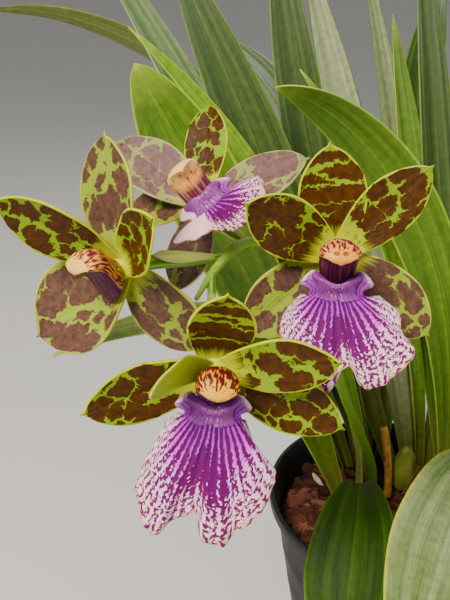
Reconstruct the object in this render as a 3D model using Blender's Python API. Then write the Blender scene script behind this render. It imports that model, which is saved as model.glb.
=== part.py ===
"""Zygopetalum orchid in a plain nursery pot.

Sizes are in millimetres in the tables below and in metres in the scene.
The origin is the middle of the pot's underside. +X is right, +Y is back, +Z is up.
"""
import math
import random

import bmesh
import bpy
from mathutils import Matrix, Quaternion, Vector

MM = 0.001
GAP = 0.3            # clearance between neighbouring solids
UP = Vector((0, 0, 1))

# ------------------------------------------------------------------ pot and bark
POT_HEIGHT = 130.0
POT_BASE_RADIUS = 52.0
POT_RIM_RADIUS = 75.0
POT_WALL = 1.5
RIM_DEPTH = 8.0      # height of the band under the lip
RIM_STEP = 2.6       # how far the band stands out from the wall
POT_SIDES = 40
DRAIN_COUNT = 6
DRAIN_RADIUS = 5.0
DRAIN_CIRCLE = 34.0
DRAIN_SIDES = 12
BARK_TOP = 113.0
POCKET_FLOOR = 107.0  # the growths stand this deep in the bark
POCKET_SIDES = 14
POCKET_DEPTH = 30.0  # reaches well above the highest chip
CHIP_COUNT = 34
CHIP_SIZE = (12.0, 20.0)
CHIP_SEED = 7
CHIP_STAND = (-0.5, 1.5)  # how far a chip's middle lies off the bed's top

# growth: (x, y, pocket radius); the shoots of one growth share a pocket
GROWTHS = {
    "front_left": (-21, 12, 16),
    "left": (-12, 45, 17.5),
    "centre": (20, 43, 16),
    "right": (41, 20, 16.5),
    "back": (3, 60, 13),
    "right_back": (33, 50, 12),
    "front_right": (54, -15, 14),
    "far_right": (58, 9, 15),
    "stalk_foot": (-3, 20, 9),
}

# bulb: (x, y, radius, height)
BULBS = {
    "pseudobulb_centre": (14, 28, 8.5, 34),
    "pseudobulb_front": (27, -11, 9, 38),
    "pseudobulb_right": (48, 1, 8.5, 38),
}

BULB_SIDES = 15
BULB_RINGS = 9
BULB_RIBS = 5
BULB_FLATNESS = 0.85
BULB_ROOM = 1.48     # a bulb's pocket, with its husk, in radii of the bulb

# husk: the bulb it wraps, the way its middle looks, height
HUSKS = {
    "husk_centre": ("pseudobulb_centre", 300, 27),
    "husk_front": ("pseudobulb_front", 75, 30),
    "husk_right": ("pseudobulb_right", 205, 29),
}
HUSK_THICKNESS = 0.6
HUSK_ARC = 62        # degrees to each side of its middle
HUSK_STAND_OFF = 0.9

ROOT_RADIUS = 1.8
ROOTS = {
    "root_front": [(25, 9, 116), (20, 3, 119), (10, -3, 118), (-2, -4, 116), (-9, -12, 111)],
    "root_left": [(-37, 20, 110), (-42, 26, 117), (-46, 35, 116), (-44, 43, 110)],
}
STALK_PATH = [(3, 21, 107.6), (2, 22, 125), (0, 24, 142), (-3, 26, 157)]
STALK_RADIUS = 2.9

# ------------------------------------------------------------------ leaves
LEAF_THICKNESS = 0.8
LEAF_BASE_HALF_WIDTH = 4.0
LEAF_FOLD = 0.16     # rise of the edges over the midrib, in half widths
LEAF_FOOT_FOLD = 0.85  # what the foot adds to that
LEAF_ROWS = 10
LEAF_STEPS = 40      # steps along a midrib, a multiple of the rows

# Angles are in degrees. heading: the compass way a leaf leans, counted from +X; lean: its
# tilt at the foot; bend: what it gains by the tip, late where ease is large; sway: how far
# the heading swings round; face: the way its upper side looks at the foot; turn: its twist;
# peak: where along the leaf it is widest; swell: how late it widens; taper: 1 and more for a
# drawn-out tip, less for a blunt one.
LEAF_HABIT = dict(ease=1.4, sway=0, turn=0, peak=0.55, swell=1.5, taper=0.8, finish="leaf")
LEAVES = {
    "leaf_front": dict(base=(-22, 3), heading=257, lean=2, bend=100, ease=0.55, sway=-4,
                       length=205, width=35, face=80, peak=0.78, swell=3),
    "leaf_left_broad": dict(base=(-28, 13), heading=202, lean=21, bend=8, sway=-13,
                            length=285, width=38, face=-75, peak=0.8, taper=0.65),
    "leaf_left_arching": dict(base=(-19, 18), heading=220, lean=0, bend=104.5, ease=1.06,
                              sway=-5, length=284, width=17, face=-6),
    "leaf_left_narrow": dict(base=(-9, 34), heading=194, lean=13, bend=38, ease=1.6, sway=-23,
                             length=317, width=15, face=-60),
    "leaf_far_left": dict(base=(-13, 57), heading=120, lean=17, bend=81, ease=2.0, sway=72,
                          length=430, width=24, face=-30, turn=75),
    "leaf_left_tall": dict(base=(-18, 48), heading=172, lean=19, bend=22, sway=-20,
                           length=385, width=24, face=-70),
    "leaf_left_wide": dict(base=(-4, 43), heading=193, lean=18, bend=12, sway=-46,
                           length=350, width=34, face=-85, peak=0.6),
    "leaf_centre_wide": dict(base=(12, 48), heading=165, lean=20, bend=-6, sway=-45,
                             length=368, width=30, face=-85),
    "leaf_centre_pale": dict(base=(21, 39), heading=163, lean=12, bend=14, sway=-39,
                             length=341, width=26, face=-75, finish="leaf_pale"),
    "leaf_centre_narrow": dict(base=(29, 47), heading=193, lean=6, bend=36,
                               length=280, width=14, face=-58),
    "leaf_centre_right": dict(base=(26, 56), heading=136, lean=4, bend=33, sway=-35,
                              length=347, width=22, face=-60),
    "leaf_right_arching": dict(base=(34, 13), heading=144, lean=2, bend=81, ease=2.0, sway=83,
                               length=310, width=30, face=-90, peak=0.62),
    "leaf_right_pointed": dict(base=(42, 33), heading=118, lean=15, bend=5, sway=2,
                               length=301, width=18, face=-94),
    "leaf_right_tall": dict(base=(43, 15), heading=108, lean=15, bend=5,
                            length=356, width=22, face=-85),
    "leaf_right_olive": dict(base=(52, 20), heading=92, lean=5, bend=12,
                             length=390, width=22, face=-80),
    "leaf_front_right": dict(base=(57, -13), heading=228, lean=8, bend=105, ease=0.8, sway=15,
                             length=250, width=38, face=45, peak=0.74),
    "leaf_right_low": dict(base=(53, -25), heading=316, lean=12, bend=100, ease=1.2, sway=10,
                           length=300, width=30, face=140),
    "leaf_back_left": dict(base=(-3, 62), heading=112, lean=9, bend=75, ease=1.5, sway=20,
                           length=390, width=28, face=-60),
    "leaf_back": dict(base=(8, 62), heading=80, lean=7, bend=63, ease=1.5, sway=-15,
                      length=400, width=30, face=-95),
    "leaf_back_right": dict(base=(37, 49), heading=50, lean=7, bend=65,
                            length=380, width=32, face=230),
    "leaf_far_right": dict(base=(60, 11), heading=25, lean=9, bend=81, ease=1.5, sway=9,
                           length=370, width=30, face=199),
    "leaf_right_upright": dict(base=(63, 0), heading=343, lean=5, bend=60, ease=1.6,
                               sway=-20, length=390, width=26, face=165),
}

# ------------------------------------------------------------------ flower spike
SPIKE_PATH = [
    (-8, 18, 107.6), (-12, 11, 138), (-23, -1, 168), (-40, -22, 208), (-57, -45, 256),
    (-71, -57, 291), (-86, -66, 304), (-97, -76, 306), (-106, -88, 300), (-112, -100, 294),
]
SPIKE_RADII = [2.8, 2.8, 2.7, 2.5, 2.3, 2.2, 2.1, 2.0, 1.7, 0.8]
PEDICEL_RADIUS = 1.5
OVARY_RADIUS = 2.6
OVARY_LENGTH = 12.0
TUBE_SIDES = 8

# bract: a short sheath round the side of each pedicel, from a point inside it
BRACT_THICKNESS = 0.8
BRACT_SPAN = (1, 5)  # the points of the pedicel's path it reaches from and to
BRACT_ARC = 62       # degrees to each side of its middle
BRACT_FOOT = 1.1     # distance of its foot from the pedicel's middle line
BRACT_SPREAD = 2.6   # what its end adds to that

# ------------------------------------------------------------------ flowers
PETAL_THICKNESS = 0.8
HUB_RADIUS = 4.0
PETAL_LAYERS = (-0.6, 0.9, 0.9, -0.6, -0.6)  # the two petals lie in front of the sepals
TEPAL_PEAK = 0.58    # where along a tepal it is widest

LIP_THICKNESS = 0.8
LIP_FORWARD = 7.6    # of the lip's ears from the hub, just in front of the column's foot
LIP_NECK = -12.0     # height of the lip's neck
LIP_NECK_HALF = 9.0
LIP_NECK_SHARE = 0.25
LIP_TOP = -9.5       # height of the dip between its ears
LIP_EAR_HALF = 11.5
LIP_EAR_RISE = 5.2
LIP_FALL = -5.0      # how far the fan's sides hang back
LIP_RUFFLE = 1.0

# column: how far forward each section lies, its top, its bottom and its half width
COLUMN_SECTIONS = [
    (4.4, 3.0, -11.5, 3.8), (6.2, 3.8, -10.6, 5.0), (8.6, 4.8, -7.4, 5.8),
    (12.0, 6.8, -4.0, 6.3), (16.0, 6.4, -2.4, 6.6), (18.6, 4.6, -1.4, 5.6),
    (20.0, 2.6, -0.2, 3.0),
]
COLUMN_SIDES = 10

# lip: forward slope, and the outline of its fan as points in the flower's own X and Y, from
# the left of the neck round to its right, with a notch near the middle. The left flower has
# dropped its lip.
LIPS = {
    "right": (0.62, [
        (-11, -13), (-14.5, -16.5), (-17.4, -20.5), (-17.2, -25), (-15, -30), (-11, -34.5),
        (-6, -38), (-1.3, -40.8), (4.4, -32.8), (8, -38), (12.4, -39.2), (16.7, -36.8),
        (20.5, -32.5), (24.8, -28), (21, -22.5), (19.6, -16.5), (14, -12.5)]),
    "lower": (0.72, [
        (-10, -13.5), (-14.5, -17.2), (-18.2, -23.2), (-21, -29.5), (-20.6, -35), (-18, -40.5),
        (-14.8, -42.9), (-9.3, -40.4), (-3.1, -38.2), (-0.1, -44.9), (6, -46.4), (10.3, -42),
        (14.5, -38.8), (18.6, -34), (20.5, -26.5), (14.5, -22), (10.5, -14.5)]),
    "back": (0.50, [
        (-12, -11.5), (-17, -11), (-18.5, -15), (-15.3, -17.9), (-11.1, -19.9), (-7.3, -22.2),
        (-4.7, -25.7), (-2, -28.7), (0.5, -32), (4.6, -33.6), (9.7, -33), (14.3, -29.4),
        (17.3, -23.1), (18.4, -17), (16, -13.5), (12.7, -13.2), (10, -13)]),
}

# flower: hub centre, the way it faces, roll, where its pedicel leaves the spike, the way
# its bract looks, and five tepals (angle, length, width, lean forward, curl forward, cup).
# Angle is counted from the flower's right, so the upper sepal stands at 90.
FLOWERS = {
    "right": dict(
        hub=(-65, -100, 310), face=(-0.10, -0.96, 0.17), roll=0,
        leaves=(-73, -58, 293), bract=(0.2, -0.6, 0.8),
        tepals=[(97, 37, 22, 10, 0, 0.12), (47, 41, 18, 6, 6, 0.10), (150, 38, 20, 18, 12, 0.10),
                (-39, 42, 22, 0, 4, 0.10), (223, 42, 22, 2, 4, 0.10)]),
    "lower": dict(
        hub=(-105, -127, 282), face=(0.05, -1.0, 0.02), roll=-6,
        leaves=(-107, -90, 299), bract=(-0.1, -0.6, 0.8),
        tepals=[(90, 33, 20, 20, 12, 0.12), (21, 40, 18, 21, 6, 0.10), (160, 37, 17, 32, 50, 0.05),
                (-19, 45, 20, 8, 5, 0.10), (200, 43, 19, 10, 5, 0.10)]),
    "left": dict(
        hub=(-135, -106, 308), face=(-0.63, -0.76, 0.15), roll=0,
        leaves=(-100, -79, 304), bract=(0.2, -0.5, 0.85),
        tepals=[(103, 43, 25, 14, -20, 0.12), (38, 36, 19, 16, 10, 0.25), (142, 44, 19, 40, 10, 0.20),
                (-45, 38, 24, -14, -16, 0.05), (229, 41, 33, 20, 6, 0.10)]),
    "back": dict(
        hub=(-110, -69, 321), face=(-0.36, -0.61, 0.70), roll=58,
        leaves=(-91, -70, 305), bract=(0.6, -0.2, 0.8),
        tepals=[(103, 46, 22, 17, 2, 0.12), (47, 41, 18, 10, 2, 0.10), (131, 42, 19, -12, 2, 0.10),
                (-23, 42, 21, -1, 2, 0.10), (204, 36, 20, -30, 20, 0.10)]),
}

# colours as linear RGB, with roughness
FINISHES = {
    "pot_plastic": ((0.030, 0.030, 0.033), 0.55),
    "bark": ((0.135, 0.052, 0.026), 0.90),
    "leaf": ((0.080, 0.190, 0.012), 0.40),
    "leaf_pale": ((0.330, 0.420, 0.230), 0.35),
    "stem": ((0.220, 0.360, 0.060), 0.45),
    "bulb": ((0.150, 0.220, 0.040), 0.45),
    "husk": ((0.290, 0.160, 0.080), 0.85),
    "dry_stalk": ((0.520, 0.250, 0.060), 0.75),
    "tepal": ((0.200, 0.130, 0.014), 0.45),
    "lip": ((0.480, 0.160, 0.560), 0.50),
    "column": ((0.600, 0.400, 0.160), 0.45),
    "root": ((0.480, 0.420, 0.290), 0.80),
}


def clear_scene():
    for item in list(bpy.data.objects):
        bpy.data.objects.remove(item, do_unlink=True)


def finish_material(name):
    material = bpy.data.materials.get(name)
    if material is None:
        colour, roughness = FINISHES[name]
        material = bpy.data.materials.new(name)
        material.use_nodes = True
        shader = material.node_tree.nodes["Principled BSDF"]
        shader.inputs["Base Color"].default_value = (*colour, 1)
        shader.inputs["Roughness"].default_value = roughness
    return material


def make_object(name, bm, finish):
    """Turn a bmesh in millimetres into a named object in metres."""
    bmesh.ops.scale(bm, vec=(MM, MM, MM), verts=bm.verts)
    mesh = bpy.data.meshes.new(name)
    bm.to_mesh(mesh)
    bm.free()
    mesh.shade_smooth()
    mesh.materials.append(finish_material(finish))
    item = bpy.data.objects.new(name, mesh)
    bpy.context.scene.collection.objects.link(item)
    return item


def apply_modifiers(item):
    bpy.context.view_layer.update()
    evaluated = item.evaluated_get(bpy.context.evaluated_depsgraph_get())
    mesh = bpy.data.meshes.new_from_object(evaluated)
    item.modifiers.clear()
    item.data = mesh


def combine(target, others, operation):
    """One Boolean of target with all the others, which are then removed."""
    group = bpy.data.collections.new("operands")
    bpy.context.scene.collection.children.link(group)
    for other in others:
        group.objects.link(other)
    boolean = target.modifiers.new("combine", "BOOLEAN")
    boolean.operation = operation
    boolean.operand_type = "COLLECTION"
    boolean.collection = group
    boolean.solver = "EXACT"
    apply_modifiers(target)
    for other in others:
        bpy.data.objects.remove(other, do_unlink=True)
    bpy.data.collections.remove(group)


# ------------------------------------------------------------------ shape helpers
def lathe(name, profile, sides, finish):
    """Turn a profile of (radius, z) points about Z. Its ends lie on the axis."""
    bm = bmesh.new()
    points = [bm.verts.new((radius, 0, z)) for radius, z in profile]
    edges = [bm.edges.new(pair) for pair in zip(points, points[1:])]
    bmesh.ops.spin(bm, geom=points + edges, axis=(0, 0, 1), cent=(0, 0, 0),
                   angle=math.tau, steps=sides, use_merge=True)
    bmesh.ops.remove_doubles(bm, verts=bm.verts, dist=0.001)
    bmesh.ops.recalc_face_normals(bm, faces=bm.faces)
    return make_object(name, bm, finish)


def sheet(name, columns, rows, shape, thickness, finish):
    """A curved blade: shape(u, v) gives its middle surface, u from -1 to 1, v from 0 to 1."""
    bm = bmesh.new()
    bmesh.ops.create_grid(bm, x_segments=columns, y_segments=rows, size=1)
    for vert in bm.verts:
        u, v = vert.co.x, (vert.co.y + 1) / 2
        vert.co = shape(u, v)
    bmesh.ops.remove_doubles(bm, verts=bm.verts, dist=0.01)
    bmesh.ops.triangulate(bm, faces=bm.faces)
    item = make_object(name, bm, finish)
    solidify = item.modifiers.new("thickness", "SOLIDIFY")
    solidify.thickness = thickness * MM
    solidify.offset = 0
    apply_modifiers(item)
    return item


def smooth_path(points, steps):
    """Points along a Catmull-Rom curve through the given ones, steps to each span."""
    route = [Vector(p) for p in points]
    ends = [2 * route[0] - route[1]] + route + [2 * route[-1] - route[-2]]
    path = []
    for p0, p1, p2, p3 in zip(ends, ends[1:], ends[2:], ends[3:]):
        for step in range(steps):
            t = step / steps
            path.append(0.5 * (2 * p1 + (p2 - p0) * t + (2 * p0 - 5 * p1 + 4 * p2 - p3) * t * t
                               + (3 * p1 - p0 - 3 * p2 + p3) * t ** 3))
    return path + [route[-1]]


def tube(name, path, radii, sides, finish):
    """A tube along a path whose rings turn with it and have the given radii."""
    bm = bmesh.new()
    direction = (path[1] - path[0]).normalized()
    side = direction.orthogonal().normalized()
    ring = None
    for index, centre in enumerate(path):
        after = path[min(index + 1, len(path) - 1)]
        before = path[max(index - 1, 0)]
        tangent = (after - before).normalized()
        side = direction.rotation_difference(tangent) @ side
        direction = tangent
        turned = [Quaternion(tangent, math.tau * k / sides) @ side for k in range(sides)]
        verts = [bm.verts.new(centre + arm * radii[index]) for arm in turned]
        if ring:
            for k in range(sides):
                bm.faces.new((ring[k - 1], ring[k], verts[k], verts[k - 1]))
        else:
            bm.faces.new(list(reversed(verts)))
        ring = verts
    bm.faces.new(ring)
    bmesh.ops.recalc_face_normals(bm, faces=bm.faces)
    bmesh.ops.triangulate(bm, faces=bm.faces)
    return make_object(name, bm, finish)


def read_along(values, share):
    """Read a short list of values, spread evenly, at a share of its length."""
    place = share * (len(values) - 1)
    low = min(int(place), len(values) - 2)
    return values[low] + (values[low + 1] - values[low]) * (place - low)


# ------------------------------------------------------------------ pot and bark
def wall_radius(z):
    """Outer radius of the pot's wall at a height."""
    foot = POT_BASE_RADIUS
    top = POT_RIM_RADIUS - RIM_STEP
    return foot + (top - foot) * z / POT_HEIGHT


def make_pot():
    """A tapering pot with a banded rim and drain holes, turned from one profile."""
    band = POT_HEIGHT - RIM_DEPTH
    outer = [
        (0, 0), (POT_BASE_RADIUS - 2, 0), (POT_BASE_RADIUS, 2), (wall_radius(band), band),
        (POT_RIM_RADIUS - 0.6, band + 0.6), (POT_RIM_RADIUS, band + 1.6),
        (POT_RIM_RADIUS, POT_HEIGHT - 0.8), (POT_RIM_RADIUS - 0.8, POT_HEIGHT),
    ]
    inner = [
        (POT_RIM_RADIUS - 2.0, POT_HEIGHT), (POT_RIM_RADIUS - 2.8, POT_HEIGHT - 0.8),
        (wall_radius(band) - POT_WALL, band - 1), (wall_radius(POT_WALL) - POT_WALL, POT_WALL),
        (0, POT_WALL),
    ]
    pot = lathe("pot", outer + inner, POT_SIDES, "pot_plastic")
    drains = []
    for k in range(DRAIN_COUNT):
        angle = math.tau * (k + 0.5) / DRAIN_COUNT
        bm = bmesh.new()
        bmesh.ops.create_cone(bm, cap_ends=True, segments=DRAIN_SIDES, radius1=DRAIN_RADIUS,
                              radius2=DRAIN_RADIUS, depth=4 * POT_WALL)
        bmesh.ops.translate(bm, verts=bm.verts, vec=(
            DRAIN_CIRCLE * math.cos(angle), DRAIN_CIRCLE * math.sin(angle), 0.5 * POT_WALL))
        drains.append(make_object("drain", bm, "pot_plastic"))
    combine(pot, drains, "DIFFERENCE")


def bark_chip(centre, size, draw):
    """One angular chip: a cube pulled out of square, flattened and tilted."""
    bm = bmesh.new()
    bmesh.ops.create_cube(bm, size=1)
    for vert in bm.verts:
        vert.co.x *= size * draw.uniform(0.8, 1.25)
        vert.co.y *= size * draw.uniform(0.5, 0.8)
        vert.co.z *= size * draw.uniform(0.35, 0.5)
    tilt = Matrix.Rotation(draw.uniform(-0.45, 0.45), 4, "X")
    turn = Matrix.Rotation(draw.uniform(0, math.tau), 4, "Z")
    bmesh.ops.transform(bm, matrix=Matrix.Translation(centre) @ turn @ tilt, verts=bm.verts)
    bmesh.ops.triangulate(bm, faces=bm.faces)
    return make_object("chip", bm, "bark")


def clear_of_growths(x, y, reach):
    for gx, gy, radius in GROWTHS.values():
        if math.hypot(x - gx, y - gy) < radius + 0.35 * reach:
            return False
    for bx, by, radius, _ in BULBS.values():
        if math.hypot(x - bx, y - by) < radius + 0.35 * reach:
            return False
    return True


def make_bark():
    """The bed of bark: a turned core with chips on top, and pockets for the growths."""
    floor = POT_WALL + GAP
    top_radius = wall_radius(BARK_TOP) - POT_WALL - GAP
    foot_radius = wall_radius(floor) - POT_WALL - GAP
    profile = [(0, floor), (foot_radius, floor), (top_radius, BARK_TOP - 2),
               (top_radius - 4, BARK_TOP), (0, BARK_TOP)]
    bed = lathe("bark_bed", profile, POT_SIDES, "bark")
    draw = random.Random(CHIP_SEED)
    chips = []
    while len(chips) < CHIP_COUNT:
        size = draw.uniform(*CHIP_SIZE)
        angle = draw.uniform(0, math.tau)
        radius = (top_radius - 0.62 * size - 2) * math.sqrt(draw.random())
        x, y = radius * math.cos(angle), radius * math.sin(angle)
        if clear_of_growths(x, y, size):
            height = BARK_TOP + draw.uniform(*CHIP_STAND)
            chips.append(bark_chip(Vector((x, y, height)), size, draw))
    combine(bed, chips, "UNION")
    pockets = []
    for x, y, radius in GROWTHS.values():
        pockets.append(pocket(x, y, radius))
    for x, y, radius, _ in BULBS.values():
        pockets.append(pocket(x, y, BULB_ROOM * radius))
    for name, points in ROOTS.items():
        pockets.append(make_root(name + "_groove", points, ROOT_RADIUS + GAP))
    pockets[0].name = "pockets"
    combine(pockets[0], pockets[1:], "UNION")
    combine(bed, pockets[:1], "DIFFERENCE")


def pocket(x, y, radius):
    bm = bmesh.new()
    bmesh.ops.create_cone(bm, cap_ends=True, segments=POCKET_SIDES, radius1=radius,
                          radius2=radius, depth=POCKET_DEPTH)
    bmesh.ops.translate(bm, verts=bm.verts, vec=(x, y, POCKET_FLOOR + POCKET_DEPTH / 2))
    return make_object("pocket", bm, "bark")


# ------------------------------------------------------------------ plant body
def make_bulb(name, x, y, radius, height):
    """An egg-shaped pseudobulb, broadest low down, with five shallow ribs."""
    bm = bmesh.new()
    bmesh.ops.create_uvsphere(bm, u_segments=BULB_SIDES, v_segments=BULB_RINGS, radius=1)
    for vert in bm.verts:
        share = (vert.co.z + 1) / 2
        around = math.atan2(vert.co.y, vert.co.x)
        rib = 1 + 0.05 * math.cos(BULB_RIBS * around)
        waist = 1.12 - 0.38 * share
        vert.co.x *= radius * waist * rib
        vert.co.y *= radius * waist * rib * BULB_FLATNESS
        vert.co.z = share * height
    bottom = POCKET_FLOOR + GAP
    bmesh.ops.translate(bm, verts=bm.verts, vec=(x, y, bottom))
    make_object(name, bm, "bulb")


def leaf_half_width(v, leaf):
    """Narrow at the foot, broadest at the peak, drawn in to a point."""
    half, peak = leaf["width"] / 2, leaf["peak"]
    if v < peak:
        rise = math.sin(math.pi / 2 * v / peak)
        return LEAF_BASE_HALF_WIDTH + (half - LEAF_BASE_HALF_WIDTH) * rise ** leaf["swell"]
    beyond = (v - peak) / (1 - peak)
    return half * max(0.0, math.cos(math.pi / 2 * beyond)) ** leaf["taper"]


def leaf_frames(leaf):
    """Midrib points of a leaf with the side and upper directions at each."""
    place = Vector((*leaf["base"], POCKET_FLOOR + GAP))
    face = math.radians(leaf["face"])
    side, tangent = Vector((-math.sin(face), math.cos(face), 0)), UP
    frames = []
    for step in range(LEAF_STEPS + 1):
        share = step / LEAF_STEPS
        pitch = math.radians(leaf["lean"] + leaf["bend"] * share ** leaf["ease"])
        yaw = math.radians(leaf["heading"] + leaf["sway"] * share)
        ahead = Vector((math.sin(pitch) * math.cos(yaw), math.sin(pitch) * math.sin(yaw),
                        math.cos(pitch)))
        side = tangent.rotation_difference(ahead) @ side
        side = Quaternion(ahead, math.radians(leaf["turn"]) / LEAF_STEPS) @ side
        tangent = ahead
        frames.append((place.copy(), side.copy(), side.cross(ahead)))
        place += ahead * leaf["length"] / LEAF_STEPS
    return frames


def make_leaf(name, habit):
    """A blade folded along its midrib at the foot, standing on its pocket's floor."""
    leaf = {**LEAF_HABIT, **habit}
    frames = leaf_frames(leaf)

    def shape(u, v):
        centre, side, upper = frames[round(v * LEAF_STEPS)]
        half = leaf_half_width(v, leaf)
        fold = LEAF_FOOT_FOLD * (1 - v) ** 4 + LEAF_FOLD
        return centre + side * (u * half) + upper * (abs(u) * half * fold)

    lowest = min(shape(u, 0).z for u in (-1, 0, 1)) - LEAF_THICKNESS / 2
    lift = Vector((0, 0, POCKET_FLOOR + GAP - lowest))
    return sheet(name, 4, LEAF_ROWS, lambda u, v: shape(u, v) + lift, LEAF_THICKNESS,
                 leaf["finish"])


def make_root(name, points, radius=ROOT_RADIUS):
    path = smooth_path(points, 2)
    return tube(name, path, [radius] * len(path), TUBE_SIDES, "root")


def make_husk(name, bulb, middle, height):
    """A dry papery sheath round one side of a bulb, torn to a point at the top."""
    x, y, radius, _ = BULBS[bulb]

    def shape(u, v):
        around = math.radians(middle + HUSK_ARC * u * (1 - 0.55 * v))
        reach = radius * (1.16 + 0.05 * v) + HUSK_STAND_OFF
        top = height * v * (1 - 0.45 * u * u)
        return Vector((x + reach * math.cos(around), y + reach * math.sin(around),
                       POCKET_FLOOR + GAP + top))

    return sheet(name, 8, 4, shape, HUSK_THICKNESS, "husk")


def make_spike():
    """The flower stem with its four pedicels, ovaries and the stalk's end, as one solid."""
    path = smooth_path(SPIKE_PATH, 2)
    radii = [read_along(SPIKE_RADII, k / (len(path) - 1)) for k in range(len(path))]
    spike = tube("flower_spike", path, radii, TUBE_SIDES, "stem")
    branches = []
    for flower in FLOWERS.values():
        face = Vector(flower["face"]).normalized()
        start = Vector(flower["leaves"])
        end = Vector(flower["hub"]) - face * (HUB_RADIUS + GAP)
        ovary = end - face * OVARY_LENGTH
        middle = (start + ovary) / 2 + Vector((0, 0, -1.5))
        route = smooth_path([start, middle, ovary, end - face * 4, end], 2)
        radii = [PEDICEL_RADIUS] * 3 + [1.9, OVARY_RADIUS, OVARY_RADIUS, OVARY_RADIUS, 2.4, 2.2]
        branches.append(tube("pedicel", route, radii, TUBE_SIDES, "stem"))
        branches.append(make_bract(route, Vector(flower["bract"])))
    combine(spike, branches, "UNION")


def make_bract(route, facing):
    """A blade wrapped round the facing side of a path, standing off towards its point."""
    first, last = BRACT_SPAN
    axis = (route[last] - route[first]).normalized()
    out = (facing - axis * facing.dot(axis)).normalized()
    across = axis.cross(out)

    def shape(u, v):
        centre = route[first].lerp(route[last], v)
        around = math.radians(BRACT_ARC) * u * math.cos(math.pi / 2 * v ** 3)
        reach = BRACT_FOOT + BRACT_SPREAD * math.sin(math.pi / 2 * v)
        return centre + (out * math.cos(around) + across * math.sin(around)) * reach

    return sheet("bract", 4, 4, shape, BRACT_THICKNESS, "stem")


# ------------------------------------------------------------------ flowers
def flower_matrix(flower):
    """Local axes of a flower: X to its right, Y to its upper sepal, Z the way it faces."""
    face = Vector(flower["face"]).normalized()
    upward = (UP - face * UP.dot(face)).normalized()
    upward = Quaternion(face, math.radians(flower["roll"])) @ upward
    right = upward.cross(face)
    turn = Matrix((right, upward, face)).transposed().to_4x4()
    return Matrix.Translation(Vector(flower["hub"])) @ turn


def tepal_half_width(v, width):
    """A tepal is a third as wide at its foot as at its peak, and ends in a point."""
    if v < TEPAL_PEAK:
        return width / 2 * (0.30 + 0.70 * math.sin(math.pi / 2 * v / TEPAL_PEAK))
    beyond = (v - TEPAL_PEAK) / (1 - TEPAL_PEAK)
    return width / 2 * max(0.0, math.cos(math.pi / 2 * beyond)) ** 0.62


def make_tepal(place, tepal, layer):
    angle, length, width, lean, curl, cup = tepal
    out = Vector((math.cos(math.radians(angle)), math.sin(math.radians(angle)), 0))
    across = Vector((-out.y, out.x, 0))
    lean, curl = math.radians(lean), math.radians(curl + 0.01)

    def shape(u, v):
        angle_here = lean + curl * v
        along = length * (math.sin(angle_here) - math.sin(lean)) / curl
        forward = length * (math.cos(lean) - math.cos(angle_here)) / curl
        normal = Vector((0, 0, 1)) * math.cos(angle_here) - out * math.sin(angle_here)
        half = tepal_half_width(v, width)
        middle = out * along + Vector((0, 0, layer + forward))
        return place @ (middle + across * (u * half) + normal * (cup * u * u * half))

    return sheet("tepal", 4, 6, shape, PETAL_THICKNESS, "tepal")


def make_tepals(name, flower):
    """Three sepals and two petals, grown together at a small round hub."""
    place = flower_matrix(flower)
    bm = bmesh.new()
    bmesh.ops.create_icosphere(bm, subdivisions=1, radius=HUB_RADIUS)
    bmesh.ops.transform(bm, matrix=place, verts=bm.verts)
    hub = make_object(name, bm, "tepal")
    blades = [make_tepal(place, *pair) for pair in zip(flower["tepals"], PETAL_LAYERS)]
    combine(hub, blades, "UNION")


def make_lip(name, flower, lip):
    """The broad lip: two small ears, a neck, and a ruffled fan with a notch below."""
    place = flower_matrix(flower)
    slope, outline = lip
    columns = len(outline) - 1

    def shape(u, v):
        if v < LIP_NECK_SHARE:
            share = v / LIP_NECK_SHARE
            top = LIP_TOP + LIP_EAR_RISE * abs(u) ** 1.6
            half = LIP_EAR_HALF + (LIP_NECK_HALF - LIP_EAR_HALF) * share
            return place @ Vector((u * half, top + (LIP_NECK - top) * share,
                                   LIP_FORWARD + share))
        share = (v - LIP_NECK_SHARE) / (1 - LIP_NECK_SHARE)
        root = Vector((LIP_NECK_HALF * u, LIP_NECK))
        reach = (Vector(outline[round((u + 1) / 2 * columns)]) - root) * share
        lean = slope * reach.length * (1 - 0.35 * share)
        fall = LIP_FALL * share * u * u
        ruffle = LIP_RUFFLE * share ** 3 * math.sin(16 * u)
        return place @ Vector((*(root + reach), LIP_FORWARD + 1 + lean + fall + ruffle))

    return sheet(name, columns, 8, shape, LIP_THICKNESS, "lip")


def make_column(name, flower):
    """The hooded column above the lip: a cap in front, a foot drawn down behind."""
    place = flower_matrix(flower)
    bm = bmesh.new()
    ring = None
    for forward, top, bottom, half in COLUMN_SECTIONS:
        verts = []
        for k in range(COLUMN_SIDES):
            turn = math.tau * k / COLUMN_SIDES
            lift = (top + bottom) / 2 + (top - bottom) / 2 * math.sin(turn)
            verts.append(bm.verts.new(place @ Vector((half * math.cos(turn), lift, forward))))
        if ring:
            for k in range(COLUMN_SIDES):
                bm.faces.new((ring[k - 1], ring[k], verts[k], verts[k - 1]))
        else:
            bm.faces.new(verts)
        ring = verts
    bm.faces.new(ring)
    bmesh.ops.recalc_face_normals(bm, faces=bm.faces)
    bmesh.ops.triangulate(bm, faces=bm.faces)
    make_object(name, bm, "column")


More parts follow.
